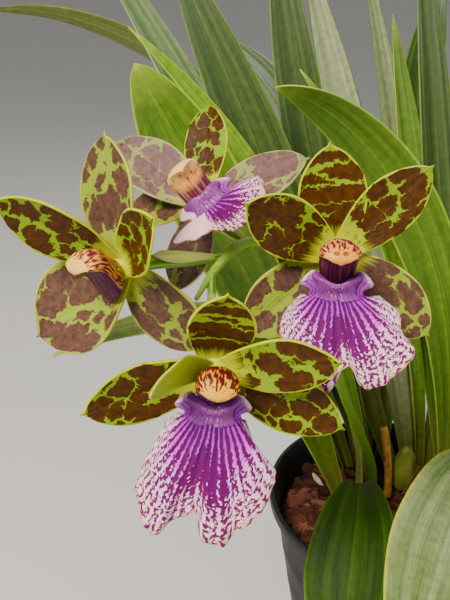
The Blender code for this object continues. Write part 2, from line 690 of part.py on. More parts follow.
def main():
    clear_scene()
    make_pot()
    make_bark()
    for name, (x, y, radius, height) in BULBS.items():
        make_bulb(name, x, y, radius, height)
    for name, (bulb, middle, height) in HUSKS.items():
        make_husk(name, bulb, middle, height)
    for name, points in ROOTS.items():
        make_root(name, points)
    stalk = smooth_path(STALK_PATH, 2)
    tube("old_stalk", stalk, [STALK_RADIUS] * len(stalk), TUBE_SIDES, "dry_stalk")
    for name, habit in LEAVES.items():
        make_leaf(name, habit)
    make_spike()
    for side, flower in FLOWERS.items():
        make_tepals("tepals_" + side, flower)
        make_column("column_" + side, flower)
    for side, lip in LIPS.items():
        make_lip("lip_" + side, FLOWERS[side], lip)


main()
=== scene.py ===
import random
from functools import partial
from math import atan2, copysign, cos, exp, hypot, pi, radians, sin, sqrt, tau

import bmesh
import bpy
from mathutils import Matrix, Quaternion, Vector, noise


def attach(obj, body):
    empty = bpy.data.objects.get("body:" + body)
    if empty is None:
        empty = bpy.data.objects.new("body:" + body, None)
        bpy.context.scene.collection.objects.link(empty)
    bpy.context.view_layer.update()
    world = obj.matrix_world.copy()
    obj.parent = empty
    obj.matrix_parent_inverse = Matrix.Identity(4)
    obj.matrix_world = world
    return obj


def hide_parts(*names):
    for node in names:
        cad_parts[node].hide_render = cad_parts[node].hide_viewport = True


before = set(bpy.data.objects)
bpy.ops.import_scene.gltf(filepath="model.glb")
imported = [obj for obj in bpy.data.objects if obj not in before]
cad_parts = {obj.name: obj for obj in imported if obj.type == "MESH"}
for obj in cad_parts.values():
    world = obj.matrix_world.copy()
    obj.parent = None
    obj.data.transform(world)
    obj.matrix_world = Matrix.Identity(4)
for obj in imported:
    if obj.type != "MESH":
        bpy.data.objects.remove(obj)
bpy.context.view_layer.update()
print("frame loaded")

mm = 0.001
up = Vector((0, 0, 1))


# shared tools

def linear(code):
    # sRGB hex to the linear colour a shader takes
    parts = [int(code[k:k + 2], 16) / 255 for k in (1, 3, 5)]
    return tuple(c / 12.92 if c <= 0.04045 else ((c + 0.055) / 1.055) ** 2.4
                 for c in parts) + (1,)


def addNode(tree, kind, inputs=(), operation=None, out=0, stops=None, **named):
    # adds one node and hands back the output in use: inputs fill its sockets in order, a
    # capital starts a socket's name and not a setting's, and every Mix here mixes colours
    made = tree.nodes.new("ShaderNode" + kind)
    if kind == "Mix":
        made.data_type, out, inputs = "RGBA", 2, dict(zip((0, 6, 7), inputs))
    if operation:
        made.operation = operation
    sockets = dict(inputs if isinstance(inputs, dict) else enumerate(inputs))
    for key, value in named.items():
        if key[0].isupper():
            sockets[key] = value
        else:
            setattr(made, key, value)
    for key, value in sockets.items():
        if isinstance(value, bpy.types.NodeSocket):
            tree.links.new(value, made.inputs[key])
        else:
            made.inputs[key].default_value = linear(value) if isinstance(value, str) else value
    if stops:
        ramp = made.color_ramp
        while len(ramp.elements) < len(stops):
            ramp.elements.new(1)
        for element, (place, shade) in zip(ramp.elements, stops.items()):
            element.position = place
            element.color = linear(shade) if isinstance(shade, str) else (shade, shade, shade, 1)
    return made.outputs[out]


def startMaterial(name, rough=0.5, ior=1.5, glow=(), **fixed):
    # fixed values go on the shader's own sockets; glow is light let through: weight, scale in
    # metres and the reach of each colour
    material = bpy.data.materials.new(name)
    material.use_nodes = True
    tree = material.node_tree
    sockets = tree.nodes["Principled BSDF"].inputs
    through = zip(("Subsurface_Weight", "Subsurface_Scale", "Subsurface_Radius"), glow)
    for key, value in {"Roughness": rough, "IOR": ior, **dict(through), **fixed}.items():
        sockets[key.replace("_", " ")].default_value = (
            linear(value) if isinstance(value, str) else value)

    def finish(colour=None, relief=None, strength=0, depth=0, rough=None):
        # links the looks to the shader; relief is a height that is turned into a bump
        bump = relief and addNode(tree, "Bump", Height=relief, Strength=strength, Distance=depth)
        for key, value in (("Base Color", colour), ("Normal", bump), ("Roughness", rough)):
            if value:
                tree.links.new(value, sockets[key])
        return material

    return partial(addNode, tree), finish


def bladePoint(node):
    # where a point lies on its blade, then its shares across and along
    place = node("UVMap", uv_map="bladePlace")
    return place, *node("SeparateXYZ", [place]).node.outputs[:2]


def offMiddle(node, value, middle=0.5):
    # how far a share lies from the middle line
    return node("Math", [node("Math", [value, middle], "SUBTRACT")], "ABSOLUTE")


def fibres(node, place, cells, detail, rough=0.5):
    # veins and fibres that run along a piece; cells counts them each way
    drawn = node("Mapping", Vector=place, Scale=cells)
    return node("TexNoise", Vector=drawn, Scale=1, Detail=detail, Roughness=rough)


def linkObject(name, data, materials=()):
    # a scene object from a mesh, lamp or lens, or from a bmesh, which is used up
    if isinstance(data, bmesh.types.BMesh):
        mesh = bpy.data.meshes.new(name)
        data.to_mesh(mesh)
        data.free()
        for material in materials:
            mesh.materials.append(material)
        if materials:
            mesh.shade_smooth()
        data = mesh
    made = bpy.data.objects.new(name, data)
    bpy.context.scene.collection.objects.link(made)
    return made


def finishPiece(name, bm, materials, nodes, wall=0, back=0):
    # bm is in millimetres; wall is the thickness given to open sheets, and back the number
    # of materials by which their other side's material follows
    bmesh.ops.remove_doubles(bm, verts=bm.verts, dist=0.004)
    bmesh.ops.scale(bm, vec=(mm, mm, mm), verts=bm.verts)
    piece = linkObject(name, bm, materials)
    if wall:
        solidify = piece.modifiers.new("wall", "SOLIDIFY")
        solidify.thickness = wall * mm
        solidify.offset = 0
        solidify.material_offset = back
    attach(piece, "root")
    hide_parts(*nodes)
    return piece


def addBlade(bm, columns, rows, shape, flat, finish=0):
    # a grid laid on shape(u, v), u from -1 to 1 and v from 0 to 1; flat gives its place
    # on the unrolled blade in millimetres
    place = bm.loops.layers.uv.get("bladePlace") or bm.loops.layers.uv.new("bladePlace")
    unrolled = bm.loops.layers.uv.get("bladeFlat") or bm.loops.layers.uv.new("bladeFlat")
    grid = bmesh.ops.create_grid(bm, x_segments=columns, y_segments=rows, size=1)
    for face in {face for vert in grid["verts"] for face in vert.link_faces}:
        face.material_index = finish
        for loop in face.loops:
            u, v = loop.vert.co.x, (loop.vert.co.y + 1) / 2
            x, y = flat(u, v)
            loop[place].uv = ((u + 1) / 2, v)
            loop[unrolled].uv = (x * 0.01, y * 0.01)
    for vert in grid["verts"]:
        vert.co = shape(vert.co.x, (vert.co.y + 1) / 2)
    bmesh.ops.remove_doubles(bm, verts=grid["verts"], dist=0.01)


def spinProfile(bm, profile, steps, weld=0.001):
    # a shell turned from (radius, height) points
    points = [bm.verts.new((radius, 0, z)) for radius, z in profile]
    edges = [bm.edges.new(pair) for pair in zip(points, points[1:])]
    bmesh.ops.spin(bm, geom=points + edges, axis=up, cent=(0, 0, 0), angle=tau,
                   steps=steps, use_merge=True)
    bmesh.ops.remove_doubles(bm, verts=bm.verts, dist=weld)


def smoothPath(points, steps):
    # a Catmull-Rom curve through the points
    route = [Vector(p) for p in points]
    ends = [2 * route[0] - route[1]] + route + [2 * route[-1] - route[-2]]
    path = []
    for p0, p1, p2, p3 in zip(ends, ends[1:], ends[2:], ends[3:]):
        for step in range(steps):
            t = step / steps
            path.append(0.5 * (2 * p1 + (p2 - p0) * t + (2 * p0 - 5 * p1 + 4 * p2 - p3) * t * t
                               + (3 * p1 - p0 - 3 * p2 + p3) * t ** 3))
    return path + [route[-1]]


def between(values, share):
    # reads a short list of values, spread evenly, at a share of its length
    place = min(max(share, 0), 1) * (len(values) - 1)
    low = min(int(place), len(values) - 2)
    return values[low] + (values[low + 1] - values[low]) * (place - low)


def ease(low, high, value):
    share = min(max((value - low) / (high - low), 0), 1)
    return share * share * (3 - 2 * share)


def tubeFrames(path):
    # centre, side and upper direction along a path, turned as little as possible
    tangent = (path[1] - path[0]).normalized()
    side = tangent.orthogonal().normalized()
    frames = []
    for index, centre in enumerate(path):
        ahead = (path[min(index + 1, len(path) - 1)] - path[max(index - 1, 0)]).normalized()
        side = tangent.rotation_difference(ahead) @ side
        tangent = ahead
        frames.append((centre, side.copy(), side.cross(ahead)))
    return frames


def addTube(bm, path, radius, sides, finish=0):
    # a closed tube from a grid wrapped round the path; radius(share, turn) in millimetres
    frames = tubeFrames(path)
    length = sum((b - a).length for a, b in zip(path, path[1:]))
    last = len(frames) - 1

    def shape(u, v):
        centre, side, upper = frames[round(v * last)]
        turn = pi * u
        reach = radius(v, turn)
        return centre + (side * cos(turn) + upper * sin(turn)) * reach

    before = set(bm.faces)
    addBlade(bm, sides, last, shape, lambda u, v: (u * 6, v * length), finish)
    bmesh.ops.remove_doubles(bm, verts=list({v for f in set(bm.faces) - before for v in f.verts}),
                             dist=0.01)
    rims = [e for f in set(bm.faces) - before for e in f.edges if e.is_boundary]
    caps = bmesh.ops.holes_fill(bm, edges=list(set(rims)), sides=0)["faces"]
    for cap in caps:
        cap.material_index = finish
    bmesh.ops.recalc_face_normals(bm, faces=list(set(bm.faces) - before))


# pot, in millimetres; ridges start and follow each other at shares of the height
pot = dict(height=130, baseRadius=52, footRound=2, rimRadius=75, wall=1.5, rimDepth=8,
           rimStep=2.6, rimWall=2.0, rimRound=0.8, sides=120, sharp=0.6, bevel=0.35, drains=6,
           drainRadius=5, drainCircle=34, ridges=3, ridgeRise=0.25, ridgeHalf=1.2,
           ridgeFrom=0.3, ridgeStep=0.22)


def wallRadius(z):
    top = pot["rimRadius"] - pot["rimStep"]
    return pot["baseRadius"] + (top - pot["baseRadius"]) * z / pot["height"]


def potPlastic():
    # injection-moulded black polypropylene: charcoal, dull, with dust and faint scuffs
    node, finish = startMaterial("moulded black polypropylene", 0.5, 1.4)
    place = node("TexCoord", out=3)
    dust = node("TexNoise", Vector=place, Scale=45, Detail=6, Roughness=0.65)
    scuffs = node("Mapping", Vector=place, Scale=(1, 1, 0.12))
    lines = node("TexNoise", Vector=scuffs, Scale=420, Detail=3)
    both = node("Math", [dust, lines], "MULTIPLY")
    colour = node("ValToRGB", [both], stops={0.12: "#121215", 0.3: "#1B1B1E", 0.5: "#353334"})
    rough = node("MapRange", [dust, 0.3, 0.7, 0.45, 0.7])
    grain = node("TexNoise", Vector=place, Scale=1400, Detail=2)
    return finish(colour, grain, 0.12, 0.0004, rough=rough)


def makePot():
    band = pot["height"] - pot["rimDepth"]
    rim, wall, high = pot["rimRadius"], pot["wall"], pot["height"]
    foot, edge, brim = pot["footRound"], pot["rimRound"], rim - pot["rimWall"]
    profile = [(0, 0), (pot["baseRadius"] - foot, 0), (pot["baseRadius"], foot)]
    for k in range(pot["ridges"]):
        z, half = band * (pot["ridgeFrom"] + pot["ridgeStep"] * k), pot["ridgeHalf"]
        profile += [(wallRadius(z - half), z - half), (wallRadius(z) + pot["ridgeRise"], z),
                    (wallRadius(z + half), z + half)]
    profile += [(wallRadius(band), band), (rim - 0.6, band + 0.6), (rim, band + 1.6),
                (rim, high - edge), (rim - edge, high), (brim, high), (brim - edge, high - edge),
                (wallRadius(band) - wall, band - 1), (wallRadius(wall) - wall, wall), (0, wall)]
    bm = bmesh.new()
    spinProfile(bm, profile, pot["sides"])
    sharp = [e for e in bm.edges if len(e.link_faces) == 2 and e.calc_face_angle() > pot["sharp"]]
    bmesh.ops.bevel(bm, geom=sharp, offset=pot["bevel"], segments=2, profile=0.5,
                    affect="EDGES", material=-1)
    bmesh.ops.recalc_face_normals(bm, faces=bm.faces)
    piece = finishPiece("nurseryPot", bm, [potPlastic()], ["pot"])
    cutter, hole = bmesh.new(), pot["drainRadius"] * mm
    for k in range(pot["drains"]):
        turn = tau * (k + 0.5) / pot["drains"]
        centre = Vector((cos(turn), sin(turn), 0)) * pot["drainCircle"] * mm
        bmesh.ops.create_cone(cutter, cap_ends=True, segments=32, radius1=hole, radius2=hole,
                              depth=4 * wall * mm, matrix=Matrix.Translation(centre))
    holes = linkObject("drainCutter", cutter)
    boolean = piece.modifiers.new("drains", "BOOLEAN")
    boolean.object = holes
    boolean.solver = "EXACT"
    bpy.context.view_layer.update()
    cut = bpy.data.meshes.new_from_object(
        piece.evaluated_get(bpy.context.evaluated_depsgraph_get()))
    piece.modifiers.clear()
    piece.data = cut
    bpy.data.objects.remove(holes)


# bark, in millimetres; long, wide and thick are a chip's shares of its size
bark = dict(top=113, floor=107, chips=210, crumbs=420, chipSize=(12, 24), crumbSize=(4, 8),
            long=(0.8, 1.25), wide=(0.5, 0.85), thick=(0.22, 0.42), tilt=(0.35, 0.3),
            tones=(-0.1, 0.42), squareness=0.45, jag=0.14, jagSize=3.2, play=0.3, clear=3,
            sides=64, seed=11)
# no chips where a growth stands: its x, y and radius
clearings = {
    "frontLeft": (-21, 12, 16), "left": (-12, 45, 17.5), "centre": (20, 43, 16),
    "right": (41, 20, 16.5), "back": (3, 60, 13), "rightBack": (33, 50, 12),
    "frontRight": (54, -15, 14), "farRight": (58, 9, 15), "stalkFoot": (-3, 20, 9),
    "bulbCentre": (14, 28, 12), "bulbFront": (27, -11, 12), "bulbRight": (48, 1, 12),
}


def pineBark():
    # graded pine bark: flaky red-brown layers, paler where a face is freshly broken
    node, finish = startMaterial("graded pine bark", 0.9, 1.4, Specular_IOR_Level=0.25)
    place = node("TexCoord", out=3)
    tone = node("Attribute", out=2, attribute_name="chipTone")
    patches = node("TexNoise", Vector=place, Scale=110, Detail=7, Roughness=0.7, Distortion=0.6)
    flakes = node("TexVoronoi", Vector=place, Scale=320, Randomness=1, feature="F1")
    layers = node("Mapping", Vector=place, Scale=(1, 1, 5))
    ply = node("TexNoise", Vector=layers, Scale=160, Detail=5)
    shade = node("Math", [patches, tone], "ADD")
    shade = node("Math", [shade, 0.62], "MULTIPLY")
    colour = node("ValToRGB", [shade], stops={0.22: "#2A1610", 0.38: "#572E1F", 0.55: "#83503A",
                                              0.72: "#A9745A", 0.9: "#C49C82"})
    height = node("Math", [ply, flakes], "ADD")
    return finish(colour, height, 0.9, 0.0016)


def addChip(bm, centre, size, draw, detail):
    toneLayer = bm.verts.layers.float.get("chipTone") or bm.verts.layers.float.new("chipTone")
    verts = bmesh.ops.create_icosphere(bm, subdivisions=detail, radius=1)["verts"]
    stretch = Vector([size * draw.uniform(*bark[side]) for side in ("long", "wide", "thick")])
    shift = Vector((draw.random(), draw.random(), draw.random())) * 90
    turn = (Matrix.Rotation(draw.uniform(0, tau), 4, "Z")
            @ Matrix.Rotation(draw.gauss(0, bark["tilt"][0]), 4, "X")
            @ Matrix.Rotation(draw.gauss(0, bark["tilt"][1]), 4, "Y"))
    tone = draw.uniform(*bark["tones"])
    for vert in verts:
        blocky = [copysign(abs(c) ** bark["squareness"], c) * 0.5 for c in vert.co]
        spot = Vector([c * span for c, span in zip(blocky, stretch)])
        jag = noise.noise_vector(spot * (bark["jagSize"] / size) + shift) * size * bark["jag"]
        vert.co = centre + turn @ (spot + jag)
        vert[toneLayer] = tone


def makeBark():
    draw = random.Random(bark["seed"])
    noise.seed_set(bark["seed"])
    bm = bmesh.new()
    tone = bm.verts.layers.float.new("chipTone")
    inset = pot["wall"] + bark["play"]
    under = bark["floor"] - 1
    spinProfile(bm, [(0, inset), (wallRadius(inset) - inset, inset),
                     (wallRadius(bark["floor"]) - inset, under), (0, under)], bark["sides"])
    bmesh.ops.recalc_face_normals(bm, faces=bm.faces)
    for vert in bm.verts:
        vert[tone] = 0
    inner = wallRadius(bark["top"]) - pot["wall"] - 1

    def growing(x, y, room):
        return any(hypot(x - gx, y - gy) < reach - bark["clear"] + room
                   for gx, gy, reach in clearings.values())

    made = 0
    while made < bark["chips"]:
        size = draw.uniform(*bark["chipSize"])
        turn, radius = draw.uniform(0, tau), (inner - size * 0.62) * sqrt(draw.random())
        x, y = radius * cos(turn), radius * sin(turn)
        if growing(x, y, size * 0.4):
            continue
        addChip(bm, Vector((x, y, draw.uniform(bark["floor"] + 1, bark["top"] + 2.5))), size,
                draw, 3)
        made += 1
    for _ in range(bark["crumbs"]):
        size = draw.uniform(*bark["crumbSize"])
        turn, radius = draw.uniform(0, tau), (inner - size) * sqrt(draw.random())
        x, y = radius * cos(turn), radius * sin(turn)
        high = bark["floor"] + 2 if growing(x, y, 0) else bark["top"] + 1
        addChip(bm, Vector((x, y, draw.uniform(bark["floor"], high))), size, draw, 2)
    finishPiece("barkChips", bm, [pineBark()], ["bark_bed"])


makePot()
makeBark()
print("pot and bark made")


# leaves, in millimetres; fold and keel are shares of the half width
leaf = dict(foot=107.3, footHalf=4.0, wall=0.8, fold=0.16, footFold=0.85, keelRound=0.004,
            keelDrop=0.03, steps=40, columns=16, rows=80, veinSpacing=2.4, pleat=0.16,
            wave=0.5, waveLength=21)

# degrees: heading, lean at the foot, bend gained by the tip, face as the way the upper side
# looks, sway of the heading, turn; millimetres: base, length and width; ease is how late the
# bend comes, peak, swell and taper shape the outline, and look names the finish
habitParts = ("base", "heading", "lean", "bend", "length", "width", "face", "look")
usualHabit = dict(ease=1.4, sway=0, turn=0, peak=0.55, swell=1.5, taper=0.8)


def growth(*values, **other):
    return {**usualHabit, **dict(zip(habitParts, values)), **other}


habits = {
    "leaf_front": growth((-22, 3), 257, 2, 100, 205, 35, 80, "deep", ease=0.55, sway=-4, peak=0.78,
                         swell=3),
    "leaf_left_broad": growth((-28, 13), 202, 21, 8, 285, 38, -75, "bright", sway=-13, peak=0.8,
                              taper=0.65),
    "leaf_left_arching": growth((-19, 18), 220, 0, 104.5, 284, 17, -6, "pale", ease=1.06, sway=-5),
    "leaf_left_narrow": growth((-9, 34), 194, 13, 38, 317, 15, -60, "lime", ease=1.6, sway=-23),
    "leaf_far_left": growth((-13, 57), 120, 17, 81, 430, 24, -30, "olive", ease=2.0, sway=72,
                            turn=75),
    "leaf_left_tall": growth((-18, 48), 172, 19, 22, 385, 24, -70, "grey", sway=-20),
    "leaf_left_wide": growth((-4, 43), 193, 18, 12, 350, 34, -85, "streaked", sway=-46, peak=0.6),
    "leaf_centre_wide": growth((12, 48), 165, 20, -6, 368, 30, -85, "streaked", sway=-45),
    "leaf_centre_pale": growth((21, 39), 163, 12, 14, 341, 26, -75, "beige", sway=-39),
    "leaf_centre_narrow": growth((29, 47), 193, 6, 36, 280, 14, -58, "lime"),
    "leaf_centre_right": growth((26, 56), 136, 4, 33, 347, 22, -60, "beige", sway=-35),
    "leaf_right_arching": growth((34, 13), 144, 2, 81, 310, 30, -90, "bright", ease=2.0, sway=83,
                                 peak=0.62),
    "leaf_right_pointed": growth((42, 33), 118, 15, 5, 301, 18, -94, "bright", sway=2),
    "leaf_right_tall": growth((43, 15), 108, 15, 5, 356, 22, -85, "streaked"),
    "leaf_right_olive": growth((52, 20), 92, 5, 12, 390, 22, -80, "olive"),
    "leaf_front_right": growth((57, -13), 228, 8, 105, 250, 38, 45, "glossy", ease=0.8, sway=15,
                               peak=0.74),
    "leaf_right_low": growth((53, -25), 316, 12, 100, 300, 30, 140, "deep", ease=1.2, sway=10),
    "leaf_back_left": growth((-3, 62), 112, 9, 75, 390, 28, -60, "streaked", ease=1.5, sway=20),
    "leaf_back": growth((8, 62), 80, 7, 63, 400, 30, -95, "deep", ease=1.5, sway=-15),
    "leaf_back_right": growth((37, 49), 50, 7, 65, 380, 32, 230, "grey"),
    "leaf_far_right": growth((60, 11), 25, 9, 81, 370, 30, 199, "streaked", ease=1.5, sway=9),
    "leaf_right_upright": growth((63, 0), 343, 5, 60, 390, 26, 165, "bright", ease=1.6, sway=-20),
}

# shade between the veins, on them, in pale streaks, along the edge, and the gloss
leafLooks = {
    "deep": ("#203801", "#2E4A03", "#4E7014", "#648418", 0.36),
    "bright": ("#486800", "#5A7E02", "#74980A", "#A6C226", 0.4),
    "lime": ("#5E8A02", "#76A008", "#94B61A", "#BCD23C", 0.4),
    "streaked": ("#243C04", "#38520C", "#5E702C", "#788C34", 0.42),
    "grey": ("#44602A", "#5C763C", "#84965E", "#9AAA70", 0.42),
    "olive": ("#4E5E18", "#667224", "#8A9040", "#6C7830", 0.45),
    "beige": ("#7A8852", "#929C6C", "#B2B88C", "#5A8028", 0.45),
    "pale": ("#7A9038", "#96A850", "#B4C074", "#C4CE84", 0.45),
    "glossy": ("#5A7234", "#7A8E4A", "#A2AC74", "#BCC640", 0.28),
}


def leafHalfWidth(v, habit):
    half, peak = habit["width"] / 2, habit["peak"]
    if v < peak:
        rise = sin(pi / 2 * v / peak)
        return leaf["footHalf"] + (half - leaf["footHalf"]) * rise ** habit["swell"]
    beyond = (v - peak) / (1 - peak)
    return half * max(0.0, cos(pi / 2 * beyond)) ** habit["taper"]


def leafFrames(habit):
    place = Vector((*habit["base"], leaf["foot"]))
    face = radians(habit["face"])
    side, tangent = Vector((-sin(face), cos(face), 0)), up
    frames = []
    for step in range(leaf["steps"] + 1):
        share = step / leaf["steps"]
        pitch = radians(habit["lean"] + habit["bend"] * share ** habit["ease"])
        yaw = radians(habit["heading"] + habit["sway"] * share)
        ahead = Vector((sin(pitch) * cos(yaw), sin(pitch) * sin(yaw), cos(pitch)))
        side = tangent.rotation_difference(ahead) @ side
        side = Quaternion(ahead, radians(habit["turn"]) / leaf["steps"]) @ side
        tangent = ahead
        frames.append((place.copy(), side.copy(), side.cross(ahead)))
        place += ahead * habit["length"] / leaf["steps"]
    return frames


def leafBlade(look):
    # living strap leaf: waxy, parallel veins that catch the light, a thin pale rim
    ground, vein, streak, edge, gloss = leafLooks[look]
    node, finish = startMaterial(look + " strap leaf", ior=1.4,
                                 glow=(0.12, 0.004, (0.6, 1.0, 0.25)), Coat_Weight=0.06,
                                 Coat_Roughness=0.3)
    flat = node("UVMap", uv_map="bladeFlat")
    _, across, along = bladePoint(node)
    offset = offMiddle(node, across)
    sway = node("TexNoise", Vector=flat, Scale=9, Detail=2)
    bend = node("Math", [sway, 0.02, across], "MULTIPLY_ADD")
    strip = node("CombineXYZ", [bend, along])
    lines = fibres(node, strip, (62, 1.4, 1), 3, 0.6)
    bands = fibres(node, strip, (7, 1.1, 1), 4)
    blotch = node("TexNoise", Vector=flat, Scale=26, Detail=5)
    veins = node("MapRange", [lines, 0.42, 0.6])
    streaks = node("MapRange", [bands, 0.46, 0.68])
    mottle = node("MapRange", [blotch, 0.3, 0.75, 0.72, 1.12])
    part = node("Math", [streaks, 0.75], "MULTIPLY")
    keel = node("Math", [node("MapRange", [offset, 0.03, 0.008]), 0.6], "MULTIPLY")
    rim = node("MapRange", [offset, 0.462, 0.488])
    # the foot fades to straw, with shreds of old brown sheath along the veins
    foot = node("MapRange", [along, 0.22, 0.02])
    shreds = node("MapRange", [bands, 0.5, 0.58])
    straw = node("Mix", [shreds, "#98A040", "#80602C"])
    tip = node("Math", [node("MapRange", [along, 0.93, 1.0]), 0.7], "MULTIPLY")
    colour = ground
    for mask, tone in ((veins, vein), (part, streak), (keel, streak), (rim, edge),
                       (foot, straw), (tip, edge)):
        colour = node("Mix", [mask, colour, tone])
    colour = node("Mix", [1.0, colour, mottle], blend_type="MULTIPLY")
    rough = node("MapRange", [blotch, 0.3, 0.7, gloss - 0.05, gloss + 0.1])
    ridges = node("Math", [bands, 1.8, lines], "MULTIPLY_ADD")
    return finish(colour, ridges, 0.55, 0.0006, rough=rough)


def makeLeaf(name, habit, finishes):
    frames = leafFrames(habit)
    centres = [f[0] for f in frames]
    fine = smoothPath(centres, 4)
    phase = sum(habit["base"]) * 0.7

    def bare(u, v):
        spot = v * leaf["steps"]
        low = min(int(spot), leaf["steps"] - 1)
        share = spot - low
        centre = between(fine, v)
        side = frames[low][1].lerp(frames[low + 1][1], share)
        upper = frames[low][2].lerp(frames[low + 1][2], share)
        half = leafHalfWidth(v, habit)
        fold = leaf["footFold"] * (1 - v) ** 4 + leaf["fold"]
        keel = sqrt(u * u + leaf["keelRound"]) - leaf["keelDrop"]
        return centre + side * (u * half) + upper * (keel * half * fold), upper, half

    lowest = min(bare(u, 0)[0].z for u in (-1, 0, 1)) - leaf["wall"] / 2
    lift = Vector((0, 0, leaf["foot"] - lowest))

    def shape(u, v):
        spot, upper, half = bare(u, v)
        grown = ease(0.05, 0.3, v) * (1 - ease(0.9, 1, v))
        pleat = leaf["pleat"] * cos(u * half * tau / leaf["veinSpacing"] / 2)
        turn = v * habit["length"] / leaf["waveLength"] + phase + 2.4 * (u > 0)
        wave = leaf["wave"] * u * u * sin(turn)
        return spot + lift + upper * ((pleat + wave) * grown)

    bm = bmesh.new()
    addBlade(bm, leaf["columns"], leaf["rows"], shape,
             lambda u, v: (u * leafHalfWidth(v, habit) + phase * 9, v * habit["length"]))
    finishPiece(name.replace("leaf", "strap"), bm, [finishes[habit["look"]]], [name], wall=leaf["wall"])


leafFinishes = {look: leafBlade(look) for look in leafLooks}
for name, habit in habits.items():
    makeLeaf(name, habit, leafFinishes)
print("leaves made")


# pseudobulbs, dry sheaths, roots and the old stalk

bulbs = {
    "pseudobulb_centre": dict(x=14, y=28, radius=8.5, height=34),
    "pseudobulb_front": dict(x=27, y=-11, radius=9, height=38),
    "pseudobulb_right": dict(x=48, y=1, radius=8.5, height=38),
}
husks = {
    "husk_centre": dict(bulb="pseudobulb_centre", middle=300, height=27),
    "husk_front": dict(bulb="pseudobulb_front", middle=75, height=30),
    "husk_right": dict(bulb="pseudobulb_right", middle=205, height=29),
}
bulbShape = dict(ribs=5, ribRise=0.05, lines=22, lineRise=0.006, wide=1.12, taper=0.38,
                 deep=0.85)
huskShape = dict(arc=62, taper=0.55, reach=1.16, standOff=0.9, crumple=0.35, torn=0.45,
                 frayed=0.06, wall=0.6, grid=(40, 20))
rootShape = dict(radius=1.8, tip=0.5, wrinkle=0.12, sides=20)
roots = {
    "root_front": [(25, 9, 116), (20, 3, 119), (10, -3, 118), (-2, -4, 116), (-9, -12, 111)],
    "root_left": [(-37, 20, 110), (-42, 26, 117), (-46, 35, 116), (-44, 43, 110)],
}
oldStalk = dict(path=[(3, 21, 107.6), (2, 22, 125), (0, 24, 142), (-3, 26, 157)], radius=2.7,
                taper=0.25, scar=0.25, scarAt=0.45, flute=0.12, sides=28)


def bulbSkin():
    # swollen stem: waxy yellow-green, faintly ribbed and freckled
    node, finish = startMaterial("pseudobulb skin", 0.42, 1.45, (0.15, 0.004))
    place = node("TexCoord", out=3)
    drawn = node("Mapping", Vector=place, Scale=(1, 1, 0.15))
    ribs = node("TexNoise", Vector=drawn, Scale=520, Detail=3)
    cloud = node("TexNoise", Vector=place, Scale=90, Detail=4)
    both = node("Math", [ribs, 0.4, cloud], "MULTIPLY_ADD")
    colour = node("ValToRGB", [both], stops={0.45: "#6F8424", 0.65: "#97A235", 0.85: "#B9B54E",
                                             0.95: "#8F7430"})
    return finish(colour, ribs, 0.4, 0.0005)


def rootSkin():
    # velamen: a spongy silver-beige coat, green where it is young
    node, finish = startMaterial("velamen root skin", 0.85, 1.4)
    place = node("TexCoord", out=3)
    cloud = node("TexNoise", Vector=place, Scale=130, Detail=6)
    colour = node("ValToRGB", [cloud], stops={0.35: "#7D6A48", 0.5: "#B7A680", 0.68: "#D8CDB0"})
    return finish(colour, cloud, 0.5, 0.0006)


# last year's leaf base, papery brown and drawn out in long fibres, and the spent flower
# stalk, straw to orange: fibres across and along, clouds, relief and tones
fibreLooks = {
    "papery dry sheath": dict(rough=0.75, fibres=(95, 5, 1), cloud=12, detail=4, relief=0.8,
                              depth=0.0006, tones={0.32: "#4A2C16", 0.46: "#8A5C32",
                                                   0.58: "#B48A56", 0.72: "#D2B586"}),
    "dry flower stalk": dict(rough=0.6, fibres=(60, 6, 1), cloud=16, detail=3, relief=0.5,
                             depth=0.0004, tones={0.34: "#8A4E16", 0.48: "#C88A34",
                                                  0.62: "#DDAF5C"}),
}


def fibreSkin(name):
    look = fibreLooks[name]
    node, finish = startMaterial(name, look["rough"], 1.4)
    flat = node("UVMap", uv_map="bladeFlat")
    drawn = fibres(node, flat, look["fibres"], 4)
    cloud = node("TexNoise", Vector=flat, Scale=look["cloud"], Detail=look["detail"])
    both = node("Math", [drawn, cloud], "ADD")
    half = node("Math", [both, 0.5], "MULTIPLY")
    colour = node("ValToRGB", [half], stops=look["tones"])
    return finish(colour, drawn, look["relief"], look["depth"])


def makeBulb(name, bulb, skin):
    bm = bmesh.new()
    bmesh.ops.create_uvsphere(bm, u_segments=60, v_segments=36, radius=1)
    for vert in bm.verts:
        share = (vert.co.z + 1) / 2
        around = atan2(vert.co.y, vert.co.x)
        rib = (1 + bulbShape["ribRise"] * cos(bulbShape["ribs"] * around)
               + bulbShape["lineRise"] * cos(bulbShape["lines"] * around))
        waist = (bulbShape["wide"] - bulbShape["taper"] * share) * bulb["radius"] * rib
        vert.co = Vector((vert.co.x * waist + bulb["x"],
                          vert.co.y * waist * bulbShape["deep"] + bulb["y"],
                          leaf["foot"] + share * bulb["height"]))
    finishPiece(name.replace("pseudobulb", "bulb"), bm, [skin], [name])


def makeHusk(name, husk, skin):
    bulb = bulbs[husk["bulb"]]
    shift = husk["middle"] * 0.13

    def shape(u, v):
        around = radians(husk["middle"] + huskShape["arc"] * u * (1 - huskShape["taper"] * v))
        crumple = huskShape["crumple"] * noise.noise(Vector((u * 3 + shift, v * 4, 0))) * v
        reach = bulb["radius"] * (huskShape["reach"] + 0.05 * v) + huskShape["standOff"] + crumple
        frayed = huskShape["frayed"] * abs(noise.noise(Vector((u * 9 + shift, 0, 3))))
        tall = husk["height"] * v * (1 - huskShape["torn"] * u * u - frayed)
        return Vector((bulb["x"] + reach * cos(around), bulb["y"] + reach * sin(around),
                       leaf["foot"] + tall))

    bm = bmesh.new()
    addBlade(bm, *huskShape["grid"], shape, lambda u, v: (u * 10 + shift, v * husk["height"]))
    finishPiece(name.replace("husk", "sheath"), bm, [skin], [name],
                wall=huskShape["wall"])


